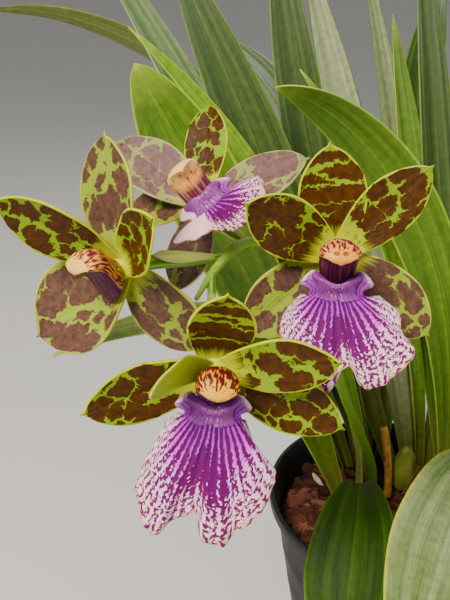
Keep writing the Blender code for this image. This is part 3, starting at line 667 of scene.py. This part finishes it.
def makeRoots():
    skin = rootSkin()

    def radius(v, turn):
        wrinkle = rootShape["wrinkle"] * abs(sin(v * 17 + turn))
        return rootShape["radius"] - rootShape["tip"] * ease(0.93, 1, v) - wrinkle

    for name, points in roots.items():
        bm = bmesh.new()
        addTube(bm, smoothPath(points, 14), radius, rootShape["sides"])
        finishPiece(name.replace("root", "aerialRoot"), bm, [skin], [name])


def makeOldStalk():
    bm = bmesh.new()

    def radius(v, turn):
        past = v - oldStalk["scarAt"]
        ring = oldStalk["scar"] * max(0.0, cos(past * 60)) ** 8 * (abs(past) < 0.03)
        flute = oldStalk["flute"] * abs(sin(3 * turn))
        return oldStalk["radius"] - oldStalk["taper"] * v + ring - flute

    addTube(bm, smoothPath(oldStalk["path"], 16), radius, oldStalk["sides"])
    finishPiece("spentStalk", bm, [fibreSkin("dry flower stalk")], ["old_stalk"])


sharedBulbSkin, sharedSheath = bulbSkin(), fibreSkin("papery dry sheath")
for name, bulb in bulbs.items():
    makeBulb(name, bulb, sharedBulbSkin)
for name, husk in husks.items():
    makeHusk(name, husk, sharedSheath)
makeRoots()
makeOldStalk()
print("bulbs, sheaths and roots made")


# flowers
bloom = dict(hubRadius=4.0, layers=(-0.6, 0.9, 0.9, -0.6, -0.6), tepalWall=0.75, tepalPeak=0.58,
             columns=20, rows=30, tipLength=0.055, tipHalf=0.75, footShare=0.3,
             wave=0.45, keel=0.35, keelHalf=0.12, vein=0.05)

# face: the way a flower looks; tepals: upper sepal, two petals, two lower sepals, each
# (angle, length, width, lean forward, curl forward, cup); skins names their finishes
flowers = {
    "right": dict(
        hub=(-65, -100, 310), face=(-0.10, -0.96, 0.17), roll=0, leaves=(-73, -58, 293),
        bract=(0.2, -0.6, 0.8),
        tepals=[(97, 37, 22, 10, 0, 0.12), (47, 41, 18, 6, 6, 0.10), (150, 38, 20, 18, 12, 0.10),
                (-39, 42, 22, 0, 4, 0.10), (223, 42, 22, 2, 4, 0.10)],
        skins=("banded", "spotted", "spotted", "paintedSheenBrown", "paintedSheenBrown")),
    "lower": dict(
        hub=(-105, -127, 282), face=(0.05, -1.0, 0.02), roll=-6, leaves=(-107, -90, 299),
        bract=(-0.1, -0.6, 0.8),
        tepals=[(90, 33, 20, 20, 12, 0.12), (21, 40, 18, 21, 6, 0.10),
                (160, 37, 12.5, 32, 50, 0.12), (-19, 45, 20, 8, 5, 0.10),
                (200, 43, 19, 10, 5, 0.10)],
        skins=("banded", "spotted", "turned", "spotted", "spotted")),
    "left": dict(
        hub=(-135, -106, 308), face=(-0.63, -0.76, 0.15), roll=0, leaves=(-100, -79, 304),
        bract=(0.2, -0.5, 0.85),
        tepals=[(103, 43, 25, 14, -20, 0.12), (38, 36, 19, 16, 10, 0.25),
                (142, 44, 19, 40, 10, 0.20), (-45, 38, 24, -14, -16, 0.05),
                (229, 41, 33, 20, 6, 0.10)],
        skins=("paintedSheenBrown", "spotted", "spotted", "paintedSheenBrown", "paintedSheenBrown")),
    "back": dict(
        hub=(-110, -69, 321), face=(-0.36, -0.61, 0.70), roll=58, leaves=(-91, -70, 305),
        bract=(0.6, -0.2, 0.8),
        tepals=[(103, 46, 22, 17, 2, 0.12), (47, 41, 18, 10, 2, 0.10),
                (131, 42, 19, -12, 2, 0.10), (-23, 42, 21, -1, 2, 0.10),
                (204, 36, 20, -30, 20, 0.10)],
        skins=("paintedSheenMauve", "spotted", "paintedSheenBrown", "paintedSheenMauve", "paintedSheenMauve")),
}

# ground between the blotches, its rim, the blotches at their palest and deepest, the throat;
# how the cells are stretched, how many there are and how much they cover
tepalSkins = {
    "spotted": ("#80A000", "#C2C804", "#563202", "#3C2000", "#C8CA08", (1, 0.85, 1), 17, 0.65),
    "banded": ("#88A600", "#C2CC04", "#5A3402", "#402200", "#C8CE14", (0.22, 1.15, 1), 19, 0.7),
    # the next two rows are the blotched tepal again, with ground and blotches painted paler and
    # mauve-brown: painted sheen of light on the tepals' glaze
    "paintedSheenBrown": ("#90A428", "#C0C040", "#6C4C3A", "#503428", "#B4B834", (1, 0.75, 1), 13, 0.62),
    "paintedSheenMauve": ("#949C50", "#BAB27A", "#806058", "#664844", "#B8B060", (1, 0.75, 1), 13, 0.66),
    "turned": ("#A6B81C", "#C4CC3C", "#6A5A20", "#5A4A18", "#B4C22A", (1, 1, 1), 10, -1.5),
}


def flowerMatrix(flower):
    face = Vector(flower["face"]).normalized()
    upward = (up - face * up.dot(face)).normalized()
    upward = Quaternion(face, radians(flower["roll"])) @ upward
    turn = Matrix((upward.cross(face), upward, face)).transposed().to_4x4()
    return Matrix.Translation(Vector(flower["hub"])) @ turn


def tepalHalfWidth(v, width):
    body, peak = v / (1 - bloom["tipLength"] * 0.6), bloom["tepalPeak"]
    if body < peak:
        foot = bloom["footShare"]
        half = width / 2 * (foot + (1 - foot) * sin(pi / 2 * body / peak))
    else:
        over = min((body - peak) / (1 - peak), 1)
        half = width / 2 * max(0.0, cos(pi / 2 * over)) ** 0.62
    return max(half, bloom["tipHalf"] * (1 - v) / bloom["tipLength"] if v > 0.5 else 0)


def tepalSkin(name, side):
    # thick waxy tepal: rounded chocolate blotches run together over lime, leaving thin
    # branching lines and star-shaped islands, a fine clear rim and an unmarked throat
    ground, rimTone, blotch, deep, throatTone, drawn, count, cover = tepalSkins[name]
    node, finish = startMaterial(f"{name} waxy tepal {side}", 0.42, 1.25,
                                 (0.08, 0.002, (1.0, 0.9, 0.3)))
    flat = node("UVMap", uv_map="bladeFlat")
    place, across, along = bladePoint(node)
    offset = offMiddle(node, across)
    stretch = node("Mapping", Vector=flat, Scale=drawn)
    jitter = node("TexNoise", Vector=flat, Scale=38, Detail=4, Roughness=0.6, out=1)
    shaken = node("VectorMath", [jitter, (0.048, 0.048, 0), stretch], "MULTIPLY_ADD")
    # cells some 6 mm across, rounded off where three of them meet
    cells = {"Vector": shaken, "Scale": count, "Randomness": 1}
    edges = node("TexVoronoi", cells, feature="DISTANCE_TO_EDGE")
    spread = node("TexVoronoi", cells, feature="F1")
    rounded = node("Math", [cover, spread], "SUBTRACT")
    field = node("Math", [rounded, 0.4, edges], "MULTIPLY_ADD")
    patch = node("TexNoise", Vector=shaken, Scale=12, Detail=2)
    # fewer blotches in patches, and none along the edge and at the tip
    for clear in ([patch, 0.36, 0.66, -0.02, 0.13], [offset, 0.462, 0.492, 0.0, 0.4],
                  [along, 0.9, 0.98, 0.0, 0.4]):
        field = node("Math", [field, node("MapRange", clear)], "SUBTRACT")
    mask = node("MapRange", [field, -0.012, 0.014])
    # the blotches end in fine streaks at the throat
    rays = fibres(node, place, (24, 2, 1), 3)
    start = node("Math", [rays, 0.22, along], "MULTIPLY_ADD")
    throat = node("MapRange", [start, 0.28, 0.38])
    mask = node("Math", [mask, throat], "MULTIPLY")
    if side == "back":
        mask = node("Math", [mask, 0.35], "MULTIPLY")
    cloud = node("TexNoise", Vector=flat, Scale=42, Detail=5, Roughness=0.7)
    grain = node("MapRange", [cloud, 0.38, 0.62])
    dark = node("Mix", [grain, deep, blotch])
    rim = node("MapRange", [offset, 0.47, 0.494])
    light = node("Mix", [rim, ground, rimTone])
    base = node("MapRange", [along, 0.34, 0.12])
    light = node("Mix", [base, light, throatTone])
    colour = node("Mix", [mask, light, dark])
    veins = fibres(node, place, (44, 2.5, 1), 3)
    shade = node("MapRange", [veins, 0.3, 0.7, 0.86, 1.1])
    colour = node("Mix", [1.0, colour, shade], blend_type="MULTIPLY")
    relief = node("Math", [mask, 0.25, veins], "MULTIPLY_ADD")
    return finish(colour, relief, 0.5, 0.0005)


def tepalShape(place, tepal, layer, seed):
    angle, length, width, lean, curl, cup = tepal
    out = Vector((cos(radians(angle)), sin(radians(angle)), 0))
    across = Vector((-out.y, out.x, 0))
    # a trace of curl keeps the divisions below from meeting zero
    lean, curl = radians(lean), radians(curl + 0.01)

    def shape(u, v):
        bend = lean + curl * v
        along = length * (sin(bend) - sin(lean)) / curl
        forward = length * (cos(lean) - cos(bend)) / curl
        normal = up * cos(bend) - out * sin(bend)
        half = tepalHalfWidth(v, width)
        middle = out * along + Vector((0, 0, layer + forward))
        grown = ease(0.1, 0.4, v)
        wave = bloom["wave"] * u * u * sin(v * 11 + seed) * (1 - ease(0.85, 1, v))
        keel = bloom["keel"] * exp(-(u / bloom["keelHalf"]) ** 2)
        veins = bloom["vein"] * cos(u * 26)
        return place @ (middle + across * (u * half)
                        + normal * (cup * u * u * half + (wave - keel + veins) * grown))

    return shape


def makeTepals(side, flower, skins):
    place = flowerMatrix(flower)
    bm = bmesh.new()
    names = list(tepalSkins)
    hub = bmesh.ops.create_icosphere(bm, subdivisions=4, radius=bloom["hubRadius"])["verts"]
    for vert in hub:
        vert.co = place @ vert.co
    for index, (tepal, layer, skin) in enumerate(zip(flower["tepals"], bloom["layers"],
                                                     flower["skins"])):
        seed = index * 2.3 + flower["hub"][0]
        shape = tepalShape(place, tepal, layer, seed)
        addBlade(bm, bloom["columns"], bloom["rows"], shape,
                 lambda u, v: (u * tepalHalfWidth(v, tepal[2]) + seed * 17, v * tepal[1]
                               + seed * 5), names.index(skin))
    materials = [skins[name, part] for part in ("back", "front") for name in names]
    finishPiece(side + "Tepals", bm, materials, ["tepals_" + side],
                wall=bloom["tepalWall"], back=len(names))


# outline: the fan's edge as points in the flower's own X and Y, from the left of the neck
# round to its right, with a notch near the middle
lipShape = dict(neckShare=0.22, neck=-12.0, neckHalf=9.0, top=-9.5, earRise=5.4,
                halves=[9.8, 11.4, 11.6, 10.8, 9.4, 8.6, 8.4, 8.6, 9.0],
                lobe=[0, 0.06, 0.16, 0.34, 0.52, 0.66, 0.84, 1.0, 1.0, 0.8, 0.4],
                forward=7.6, fall=-5.0, wall=0.75, fine=6, rows=60, flare=1.8, flatten=0.35,
                groove=0.5, pleat=0.14, pleats=7)
# fleshy crest on the neck: its share of the width, rise, reach forward and ridges
lipCrest = dict(width=0.68, rise=2.6, forward=4.2, lift=0.3, ridge=0.12, ridges=7.5,
                grid=(104, 20))
lips = {
    "right": dict(slope=0.62, seed=1.0, outline=[
        (-11, -13), (-14.5, -16.5), (-17.4, -20.5), (-17.2, -25), (-15, -30), (-11, -34.5),
        (-6, -38), (-1.3, -40.8), (4.4, -32.8), (8, -38), (12.4, -39.2), (16.7, -36.8),
        (20.5, -32.5), (24.8, -28), (21, -22.5), (19.6, -16.5), (14, -12.5)]),
    "lower": dict(slope=0.72, seed=4.0, outline=[
        (-10, -13.5), (-14.5, -17.2), (-18.2, -23.2), (-21, -29.5), (-20.6, -35), (-18, -40.5),
        (-14.8, -42.9), (-9.3, -40.4), (-3.1, -38.2), (-0.1, -44.9), (6, -46.4), (10.3, -42),
        (14.5, -38.8), (18.6, -34), (20.5, -26.5), (14.5, -22), (10.5, -14.5)]),
    "back": dict(slope=0.50, seed=8.0, pale=0.4, outline=[
        (-12, -11.5), (-17, -11), (-18.5, -15), (-15.3, -17.9), (-11.1, -19.9), (-7.3, -22.2),
        (-4.7, -25.7), (-2, -28.7), (0.5, -32), (4.6, -33.6), (9.7, -33), (14.3, -29.4),
        (17.3, -23.1), (18.4, -17), (16, -13.5), (12.7, -13.2), (10, -13)]),
}


def lipSkin(side, pale):
    # velvety lip: some fifteen plum veins run out from the neck over violet, then break into
    # dashes and dots on a blush-white fan; nearly solid in the middle, cream along the margin
    node, finish = startMaterial(f"veined velvet lip {side}", 0.55, 1.22,
                                 (0.1, 0.002, (1.0, 0.6, 0.9)), Sheen_Weight=0.03,
                                 Sheen_Roughness=0.4)
    flat = node("UVMap", uv_map="bladeFlat")
    _, across, along = bladePoint(node)
    offset = offMiddle(node, across)
    drift = node("TexNoise", Vector=flat, Scale=20, Detail=3)
    bent = node("Math", [drift, 0.045, across], "MULTIPLY_ADD")
    turns = node("Math", [bent, tau * 17], "MULTIPLY")
    lines = node("Math", [turns], "SINE")
    strip = node("CombineXYZ", [bent, along])
    dashes = fibres(node, strip, (66, 40, 1), 2, 0.6)
    # veins rule near the neck, dashes further out
    far = node("MapRange", [along, 0.42, 0.8])
    ruled = node("MapRange", [far, 0, 1, 0.5, 0.06])
    loose = node("MapRange", [far, 0, 1, 1.6, 3.9])
    spots = node("Math", [dashes, 0.5], "SUBTRACT")
    spots = node("Math", [spots, loose], "MULTIPLY")
    field = node("Math", [lines, ruled, spots], "MULTIPLY_ADD")
    twice = node("Math", [turns, 2.0], "MULTIPLY")
    branch = node("Math", [twice], "COSINE")
    split = node("Math", [far, 0.26], "MULTIPLY")
    field = node("Math", [branch, split, field], "MULTIPLY_ADD")
    reach = node("MapRange", [along, 0.3, 1.0, -0.16, 0.06])
    aside = node("MapRange", [offset, 0.12, 0.48, -0.04, 0.1])
    limit = node("Math", [reach, aside], "ADD")
    heart = node("ValToRGB", [along], stops={0.36: 0.0, 0.54: 0.75, 0.66: 0.75, 0.84: 0.0})
    narrow = node("MapRange", [offset, 0.2, 0.0])
    heart = node("Math", [heart, narrow], "MULTIPLY")
    limit = node("Math", [limit, heart], "SUBTRACT")
    # one side of the back flower's lip turns up its pale blush face
    bare = node("MapRange", [bent, pale, pale - 0.06])
    for less in (limit, node("Math", [bare, 0.8], "MULTIPLY")):
        field = node("Math", [field, less], "SUBTRACT")
    mask = node("MapRange", [field, -0.07, 0.09])
    ground = node("ValToRGB", [along], stops={0.0: "#A45CA8", 0.22: "#A428B8", 0.4: "#C22CC8",
                                              0.54: "#E268DC", 0.66: "#FFBCE8", 0.8: "#FFD0DC",
                                              0.95: "#FFDCD4", 1.0: "#E4AC80"})
    veins = node("ValToRGB", [along], stops={0.1: "#883C90", 0.22: "#741488", 0.3: "#540060",
                                             0.45: "#60005C", 0.7: "#6C0060", 0.95: "#780860"})
    ground = node("Mix", [bare, ground, "#FFCAD2"])
    colour = node("Mix", [mask, ground, veins])
    # the margin, where no vein covers it, is cream
    blush = node("MapRange", [offset, 0.36, 0.5])
    for other in (node("MapRange", [along, 0.28, 0.5]),
                  node("Math", [mask, -0.9, 0.9], "MULTIPLY_ADD")):
        blush = node("Math", [blush, other], "MULTIPLY")
    colour = node("Mix", [blush, colour, "#F4D8D6"])
    # the ears' rims pale to blush
    ear = node("MapRange", [along, 0.09, 0.0])
    outer = node("MapRange", [offset, 0.3, 0.4])
    ear = node("Math", [ear, outer], "MULTIPLY")
    colour = node("Mix", [ear, colour, "#F4C8D4"])
    nap = node("TexNoise", Vector=flat, Scale=190, Detail=3)
    relief = node("Math", [lines, -0.7, nap], "MULTIPLY_ADD")
    return finish(colour, relief, 0.5, 0.0004)


def callusSkin():
    # fleshy ridged collar: dull violet, its fine ridges whitish towards the middle
    node, finish = startMaterial("ridged waxy callus", 0.4, 1.45, (0.1, 0.002))
    place, across, _ = bladePoint(node)
    turns = node("Math", [across, tau * 13], "MULTIPLY")
    ridge = node("Math", [turns], "COSINE")
    middle = node("MapRange", [offMiddle(node, across), 0.42, 0.1, 0.1])
    cloud = fibres(node, place, (40, 9, 1), 3)
    both = node("Math", [ridge, 0.05, cloud], "MULTIPLY_ADD")
    crest = node("MapRange", [both, 0.44, 0.7])
    crest = node("Math", [crest, middle], "MULTIPLY")
    colour = node("ValToRGB", [crest], stops={0.0: "#84308A", 0.45: "#9C4C9C", 0.75: "#CC94BC",
                                              1.0: "#F0D4DE"})
    return finish(colour)


def lipSurface(lip):
    edge = smoothPath([Vector((*point, 0)) for point in lip["outline"]], lipShape["fine"])
    last, seed = len(edge) - 1, lip["seed"]

    def shape(u, v):
        share = v / lipShape["neckShare"]
        if share < 1:
            # ears: a round lobe at each end of the collar, flaring forward
            top = lipShape["top"] + lipShape["earRise"] * between(lipShape["lobe"], abs(u))
            half = between(lipShape["halves"], share)
            flare = lipShape["flare"] * (1 - share) * u * u
            return Vector((u * half, top + (lipShape["neck"] - top) * share,
                           lipShape["forward"] + share + flare))
        share = (v - lipShape["neckShare"]) / (1 - lipShape["neckShare"])
        root = Vector((lipShape["neckHalf"] * u, lipShape["neck"], 0))
        frill = 0.012 * sin(u * 37 + seed) + 0.007 * sin(u * 83 + seed * 3)
        reach = (edge[round((u + 1) / 2 * last)] - root) * share * (1 + frill * share)
        lean = lip["slope"] * reach.length * (1 - lipShape["flatten"] * share)
        fall = lipShape["fall"] * share * u * u
        ruffle = (sin(16 * u) + 0.4 * sin(41 * u + seed)) * share ** 3
        groove = lipShape["groove"] * exp(-(u / 0.1) ** 2) * share
        pleat = lipShape["pleat"] * cos(u * tau * lipShape["pleats"])
        return root + reach + Vector((0, 0, lipShape["forward"] + 1 + lean + fall + ruffle
                                      - groove + pleat * (1 - share) ** 0.5))

    return shape


def makeLip(side, flower, lip, callus):
    place = flowerMatrix(flower)
    surface = lipSurface(lip)
    bm = bmesh.new()
    columns = (len(lip["outline"]) - 1) * lipShape["fine"]
    addBlade(bm, columns, lipShape["rows"], lambda u, v: place @ surface(u, v),
             lambda u, v: (u * 24, v * 44))

    def collar(u, v):
        # fleshy crest: rises forward from the top of the neck, then slopes down on to the fan
        spot = surface(u * lipCrest["width"], lipShape["neckShare"] * (0.02 + 1.25 * v))
        swell = (1 - u ** 4) ** 0.5 * sin(pi * min(1, v * 1.9) / 2)
        swell *= 1 - ease(0.35, 1.0, v)
        ridge = cos(u * tau * lipCrest["ridges"]) * sin(pi * v) * (1 - u * u)
        forward = lipCrest["forward"] * swell + lipCrest["ridge"] * ridge
        lift = Vector((0, 1, 1)) * lipCrest["lift"]
        return place @ (spot + lift + Vector((0, lipCrest["rise"] * swell, forward)))

    addBlade(bm, *lipCrest["grid"], collar, lambda u, v: (u * 7, v * 9), 1)
    finishPiece(side + "Lip", bm, [lipSkin(side, lip.get("pale", 0)), callus], ["lip_" + side],
                wall=lipShape["wall"])


# sections: forward, top, bottom, half width
column = dict(sections=[
    (4.4, 3.0, -11.5, 5.0), (6.2, 3.8, -10.6, 5.8), (8.6, 4.8, -7.4, 6.1),
    (12.0, 6.8, -4.0, 6.3), (16.0, 6.4, -2.4, 6.6), (18.6, 4.6, -1.4, 5.6),
    (20.0, 2.6, -0.2, 3.0)], sides=48, steps=5, hollow=2.4, beak=1.8, beakHalf=1.1,
    seam=0.07, seamAt=0.8, seamHalf=0.035, capBulge=0.7, footDip=-0.2)
# hood and its flecks (amount 0 to 1), the cap in front, the hollow beneath and its streaks,
# and the colour of the two small pits in the cap
columnLooks = {
    "right": ("#E8A048", "#6A1430", "#F09E38", "#440820", "#7C3A58", "#A85420", 0.8, 0.86, 1),
    "lower": ("#D08A28", "#5C1410", "#F6B420", "#7A3A7E", "#A86AA8", "#F6B420", 0.9, 0.8, 0),
    "left": ("#F4A848", "#741A2C", "#FFC65C", "#4A0A34", "#743464", "#FFC65C", 0.78, 0.86, 0),
    # the back flower's hood and cap tones are painted paler than the others: painted light on a hood
    # and cap that sit in shade
    "back": ("#FFAE54", "#8A3418", "#FFD07C", "#5C1230", "#C08A6A", "#FFD07C", 0.35, 0.6, 0),
}


def columnSkin(side):
    # fleshy column: warm cream hood flecked with maroon, a paler cap with two small pits and
    # a wine-dark streaked hollow beneath
    hoodTone, speck, cap, hollow, streak, pits, amount, reach, dent = columnLooks[side]
    node, finish = startMaterial(f"flecked waxy column {side}", 0.36, 1.3, (0.08, 0.002))
    place, around, along = bladePoint(node)
    flat = node("UVMap", uv_map="bladeFlat")
    spot = node("SeparateXYZ", [flat]).node.outputs
    flecks = fibres(node, place, (46, 7, 1), 3)
    # flecks thin out on the cap
    fade = node("MapRange", [along, 0.78, 0.96, 0.0, 0.8 - 0.75 * amount])
    limit = node("Math", [fade, 0.72 - amount * 0.3], "ADD")
    field = node("Math", [flecks, limit], "SUBTRACT")
    mask = node("MapRange", [field, -0.02, 0.03])
    front = node("MapRange", [along, 0.6, 0.8])
    hood = node("Mix", [front, hoodTone, cap])
    hood = node("Mix", [mask, hood, speck])
    under = node("MapRange", [offMiddle(node, around, 0.25), 0.23, 0.2])
    near = node("MapRange", [along, reach, reach - 0.1])
    belly = node("Math", [under, near], "MULTIPLY")
    grooves = fibres(node, place, (90, 3, 1), 2)
    pale = node("MapRange", [grooves, 0.5, 0.7])
    stripes = node("Mix", [pale, hollow, streak])
    colour = node("Mix", [belly, hood, stripes])
    # two pits to either side of the middle, each wider than it is high
    aside = node("Math", [spot[0]], "ABSOLUTE")
    pair = node("CombineXYZ", [aside, spot[1]])
    pair = node("Mapping", Vector=pair, Scale=(0.6, 1, 1))
    far = node("VectorMath", [pair, (0.0084, 0.03, 0)], "DISTANCE", out=1)
    pit = node("MapRange", [far, 0.0065, 0.0035])
    front = node("Math", [front, dent], "MULTIPLY")
    pit = node("Math", [pit, front], "MULTIPLY")
    colour = node("Mix", [pit, colour, pits])
    return finish(colour, pit, 1.0, -0.0006)


def makeColumn(side, flower):
    place = flowerMatrix(flower)
    rows = (len(column["sections"]) - 1) * column["steps"]
    fine = smoothPath([Vector(s[:3]) for s in column["sections"]], column["steps"])
    halves = [s[3] for s in column["sections"]]

    def ring(u, v):
        forward, top, bottom = fine[round(v * rows)]
        half = between(halves, v)
        turn = pi * u
        # a shallow seam parts the cap from the hood
        past = (v - column["seamAt"]) / column["seamHalf"]
        squeeze = 1 - column["seam"] * exp(-past ** 2)
        x, y = half * cos(turn) * squeeze, sin(turn) * squeeze
        lift = (top + bottom) / 2 + (top - bottom) / 2 * y
        if y < 0:
            lift += column["hollow"] * (-y) * ease(0.45, 0.65, v) * (1 - ease(0.85, 1, v))
            beak = column["beak"] * exp(-(x / column["beakHalf"]) ** 2)
            lift -= beak * ease(0.72, 0.88, v) * (1 - ease(0.88, 1, v))
        return Vector((x, lift, forward))

    bm = bmesh.new()
    addBlade(bm, column["sides"], rows, lambda u, v: place @ ring(u, v),
             lambda u, v: (ring(u, v).x, ring(u, v).y))
    bmesh.ops.remove_doubles(bm, verts=bm.verts, dist=0.01)
    flat = bm.loops.layers.uv["bladeFlat"]
    where = bm.loops.layers.uv["bladePlace"]
    ends = [e for e in bm.edges if e.is_boundary]
    inverse = place.inverted()
    for cap in bmesh.ops.holes_fill(bm, edges=ends, sides=0)["faces"]:
        near = (inverse @ cap.calc_center_median()).z > column["sections"][3][0]
        rise = column["capBulge" if near else "footDip"]
        middle = bmesh.ops.poke(bm, faces=[cap])
        for vert in middle["verts"]:
            vert.co += place.to_3x3() @ Vector((0, 0, rise))
        for face in middle["faces"]:
            for loop in face.loops:
                spot = inverse @ loop.vert.co
                loop[flat].uv = (spot.x * 0.01, spot.y * 0.01)
                loop[where].uv = (0.5, 1.0 if near else 0.0)
    bmesh.ops.recalc_face_normals(bm, faces=bm.faces)
    finishPiece(side + "Column", bm, [columnSkin(side)], ["column_" + side])


skins = {(name, part): tepalSkin(name, part) for name in tepalSkins for part in
         ("front", "back")}
sharedCallus = callusSkin()
for side, flower in flowers.items():
    makeTepals(side, flower, skins)
    makeColumn(side, flower)
for side, lip in lips.items():
    makeLip(side, flowers[side], lip, sharedCallus)
print("flowers made")


# flower spike

spike = dict(path=[(-8, 18, 107.6), (-12, 11, 138), (-23, -1, 168), (-40, -22, 208),
                   (-57, -45, 256), (-71, -57, 291), (-86, -66, 304), (-97, -76, 306),
                   (-106, -88, 300), (-112, -100, 294)],
             radii=[2.8, 2.8, 2.7, 2.5, 2.3, 2.2, 2.1, 2.0, 1.7, 0.8],
             sides=32, flutes=8, flute=0.08, ovaryLength=12, ovarySides=48, gap=0.3,
             sag=1.5, ribs=6, rib=0.22, steps=8,
             ovaryRadii=[1.5, 1.5, 1.5, 1.9, 2.6, 2.6, 2.6, 2.4, 2.2])
bract = dict(span=(1, 5), arc=62, foot=1.1, spread=2.6, wall=0.7, grid=(28, 24))


def stemSkin():
    # green stem: satin, fleshy, paler towards the flowers
    node, finish = startMaterial("satin flower stem", 0.42, 1.45, (0.1, 0.002))
    place = node("TexCoord", out=3)
    height = node("SeparateXYZ", [place], out=2)
    cloud = node("TexNoise", Vector=place, Scale=160, Detail=5)
    both = node("Math", [cloud, 0.06, height], "MULTIPLY_ADD")
    colour = node("ValToRGB", [both], stops={0.12: "#4E6E10", 0.24: "#6E921C", 0.32: "#8CB028",
                                             0.36: "#A0BE3C"})
    return finish(colour, cloud, 0.25, 0.0004)


def ovarySkin():
    # ribbed ovary and its stalk: glossy fresh green, lighter on the crest of each rib
    node, finish = startMaterial("glossy green ovary", 0.32, 1.45, (0.1, 0.002))
    place, around, _ = bladePoint(node)
    turns = node("Math", [around, tau * spike["ribs"]], "MULTIPLY")
    ribs = node("Math", [turns], "COSINE")
    cloud = fibres(node, place, (30, 4, 1), 3)
    both = node("Math", [ribs, -0.22, cloud], "MULTIPLY_ADD")
    colour = node("ValToRGB", [both], stops={0.25: "#4E8404", 0.5: "#78AE0E", 0.8: "#A6CC30"})
    return finish(colour)


def bractSkin():
    # thin bract: pale yellow-green with fine lengthwise lines, drying to beige at its edges
    node, finish = startMaterial("pale papery bract", 0.5, 1.45, (0.1, 0.002))
    place, across, _ = bladePoint(node)
    lines = fibres(node, place, (36, 2, 1), 3)
    green = node("ValToRGB", [lines], stops={0.35: "#A2B43C", 0.5: "#C0CE50", 0.68: "#D8DC80"})
    dry = node("MapRange", [offMiddle(node, across), 0.34, 0.5])
    colour = node("Mix", [dry, green, "#CDBE88"])
    return finish(colour, lines, 0.4, 0.0004)


def addBract(bm, route, facing, finish):
    first, last = [route[k * spike["steps"] // 2] for k in bract["span"]]
    axis = (last - first).normalized()
    out = (facing - axis * facing.dot(axis)).normalized()
    across = axis.cross(out)

    def shape(u, v):
        turn = radians(bract["arc"]) * u * cos(pi / 2 * v ** 3)
        reach = bract["foot"] + bract["spread"] * sin(pi / 2 * v)
        reach += 0.12 * sin(u * 9 + v * 5) * v
        return first.lerp(last, v) + (out * cos(turn) + across * sin(turn)) * reach

    addBlade(bm, *bract["grid"], shape, lambda u, v: (u * 5, v * 12), finish)


def makeSpike():
    bm = bmesh.new()
    path = smoothPath(spike["path"], 10)
    addTube(bm, path, lambda v, turn: between(spike["radii"], v)
            - spike["flute"] * (1 + cos(spike["flutes"] * turn)), spike["sides"])
    sheaths = bmesh.new()
    for flower in flowers.values():
        face = Vector(flower["face"]).normalized()
        start = Vector(flower["leaves"])
        end = Vector(flower["hub"]) - face * (bloom["hubRadius"] + spike["gap"])
        ovary = end - face * spike["ovaryLength"]
        middle = (start + ovary) / 2 + Vector((0, 0, -spike["sag"]))
        route = smoothPath([start, middle, ovary, end - face * 4, end], spike["steps"])

        def radius(v, turn):
            rib = spike["rib"] * ease(0.3, 0.5, v) * (1 + cos(spike["ribs"] * turn))
            return between(spike["ovaryRadii"], v) - rib

        addTube(bm, route, radius, spike["ovarySides"], 1)
        addBract(sheaths, route, Vector(flower["bract"]), 0)
    finishPiece("flowerStem", bm, [stemSkin(), ovarySkin()], ["flower_spike"])
    finishPiece("flowerBracts", sheaths, [bractSkin()], ["flower_spike"],
                wall=bract["wall"])


makeSpike()
print("spike made")


# floor, light and camera

# metres for the floor: flat out to one radius, then swept up to the outer one
stage = dict(floor="#D9D7D2", flat=1.2, outer=9.0, rise=0.09, rings=40, sides=96,
             sky=0.32, skyTint="#E6E8EA", bloomsAt=(-0.1, -0.1, 0.3))
# place in metres, size, power and tint; all look at the blooms
lights = {
    "keyLight": ((-0.7, -0.9, 1.3), 0.6, 38, "#FFF8EE"),
    "fillLight": ((1.1, -0.8, 0.8), 1.2, 7, "#F4F7FF"),
    "rimLight": ((0.5, 1.2, 1.4), 0.9, 10, "#FFFFFF"),
}
# millimetres for the lens, metres for its place, degrees below the horizon
view = dict(lens=36, sensor=36, place=(-0.102, -0.291, 0.371), down=22)


def makeFloor():
    # a round paper sheet that sweeps up on every side, so that no side shows its end
    _, finish = startMaterial("pale paper floor", 0.9, Base_Color=stage["floor"])
    bm = bmesh.new()
    profile = [(0, 0)]
    for k in range(stage["rings"] + 1):
        past = (stage["outer"] - stage["flat"]) * k / stage["rings"]
        profile.append((stage["flat"] + past, stage["rise"] * past * past))
    spinProfile(bm, profile, stage["sides"], 0.0001)
    bmesh.ops.recalc_face_normals(bm, faces=bm.faces)
    linkObject("paperFloor", bm, [finish()])


def addLight(name, place, size, power, tint):
    lamp = bpy.data.lights.new(name, "AREA")
    lamp.shape = "DISK"
    lamp.size = size
    lamp.energy = power
    lamp.color = linear(tint)[:3]
    light = linkObject(name, lamp)
    light.location = place
    aim = Vector(stage["bloomsAt"]) - light.location
    light.rotation_euler = aim.to_track_quat("-Z", "Y").to_euler()


def makeCamera():
    lens = bpy.data.cameras.new("camera")
    lens.lens, lens.sensor_width = view["lens"], view["sensor"]
    camera = linkObject("camera", lens)
    camera.location = view["place"]
    camera.rotation_euler = (radians(90 - view["down"]), 0, 0)
    bpy.context.scene.camera = camera


makeFloor()
for name, lamp in lights.items():
    addLight(name, *lamp)
world = bpy.data.worlds.new("studio")
world.use_nodes = True
sky = world.node_tree.nodes["Background"].inputs
sky[0].default_value, sky[1].default_value = linear(stage["skyTint"]), stage["sky"]
bpy.context.scene.world = world
makeCamera()

print("scene ready")
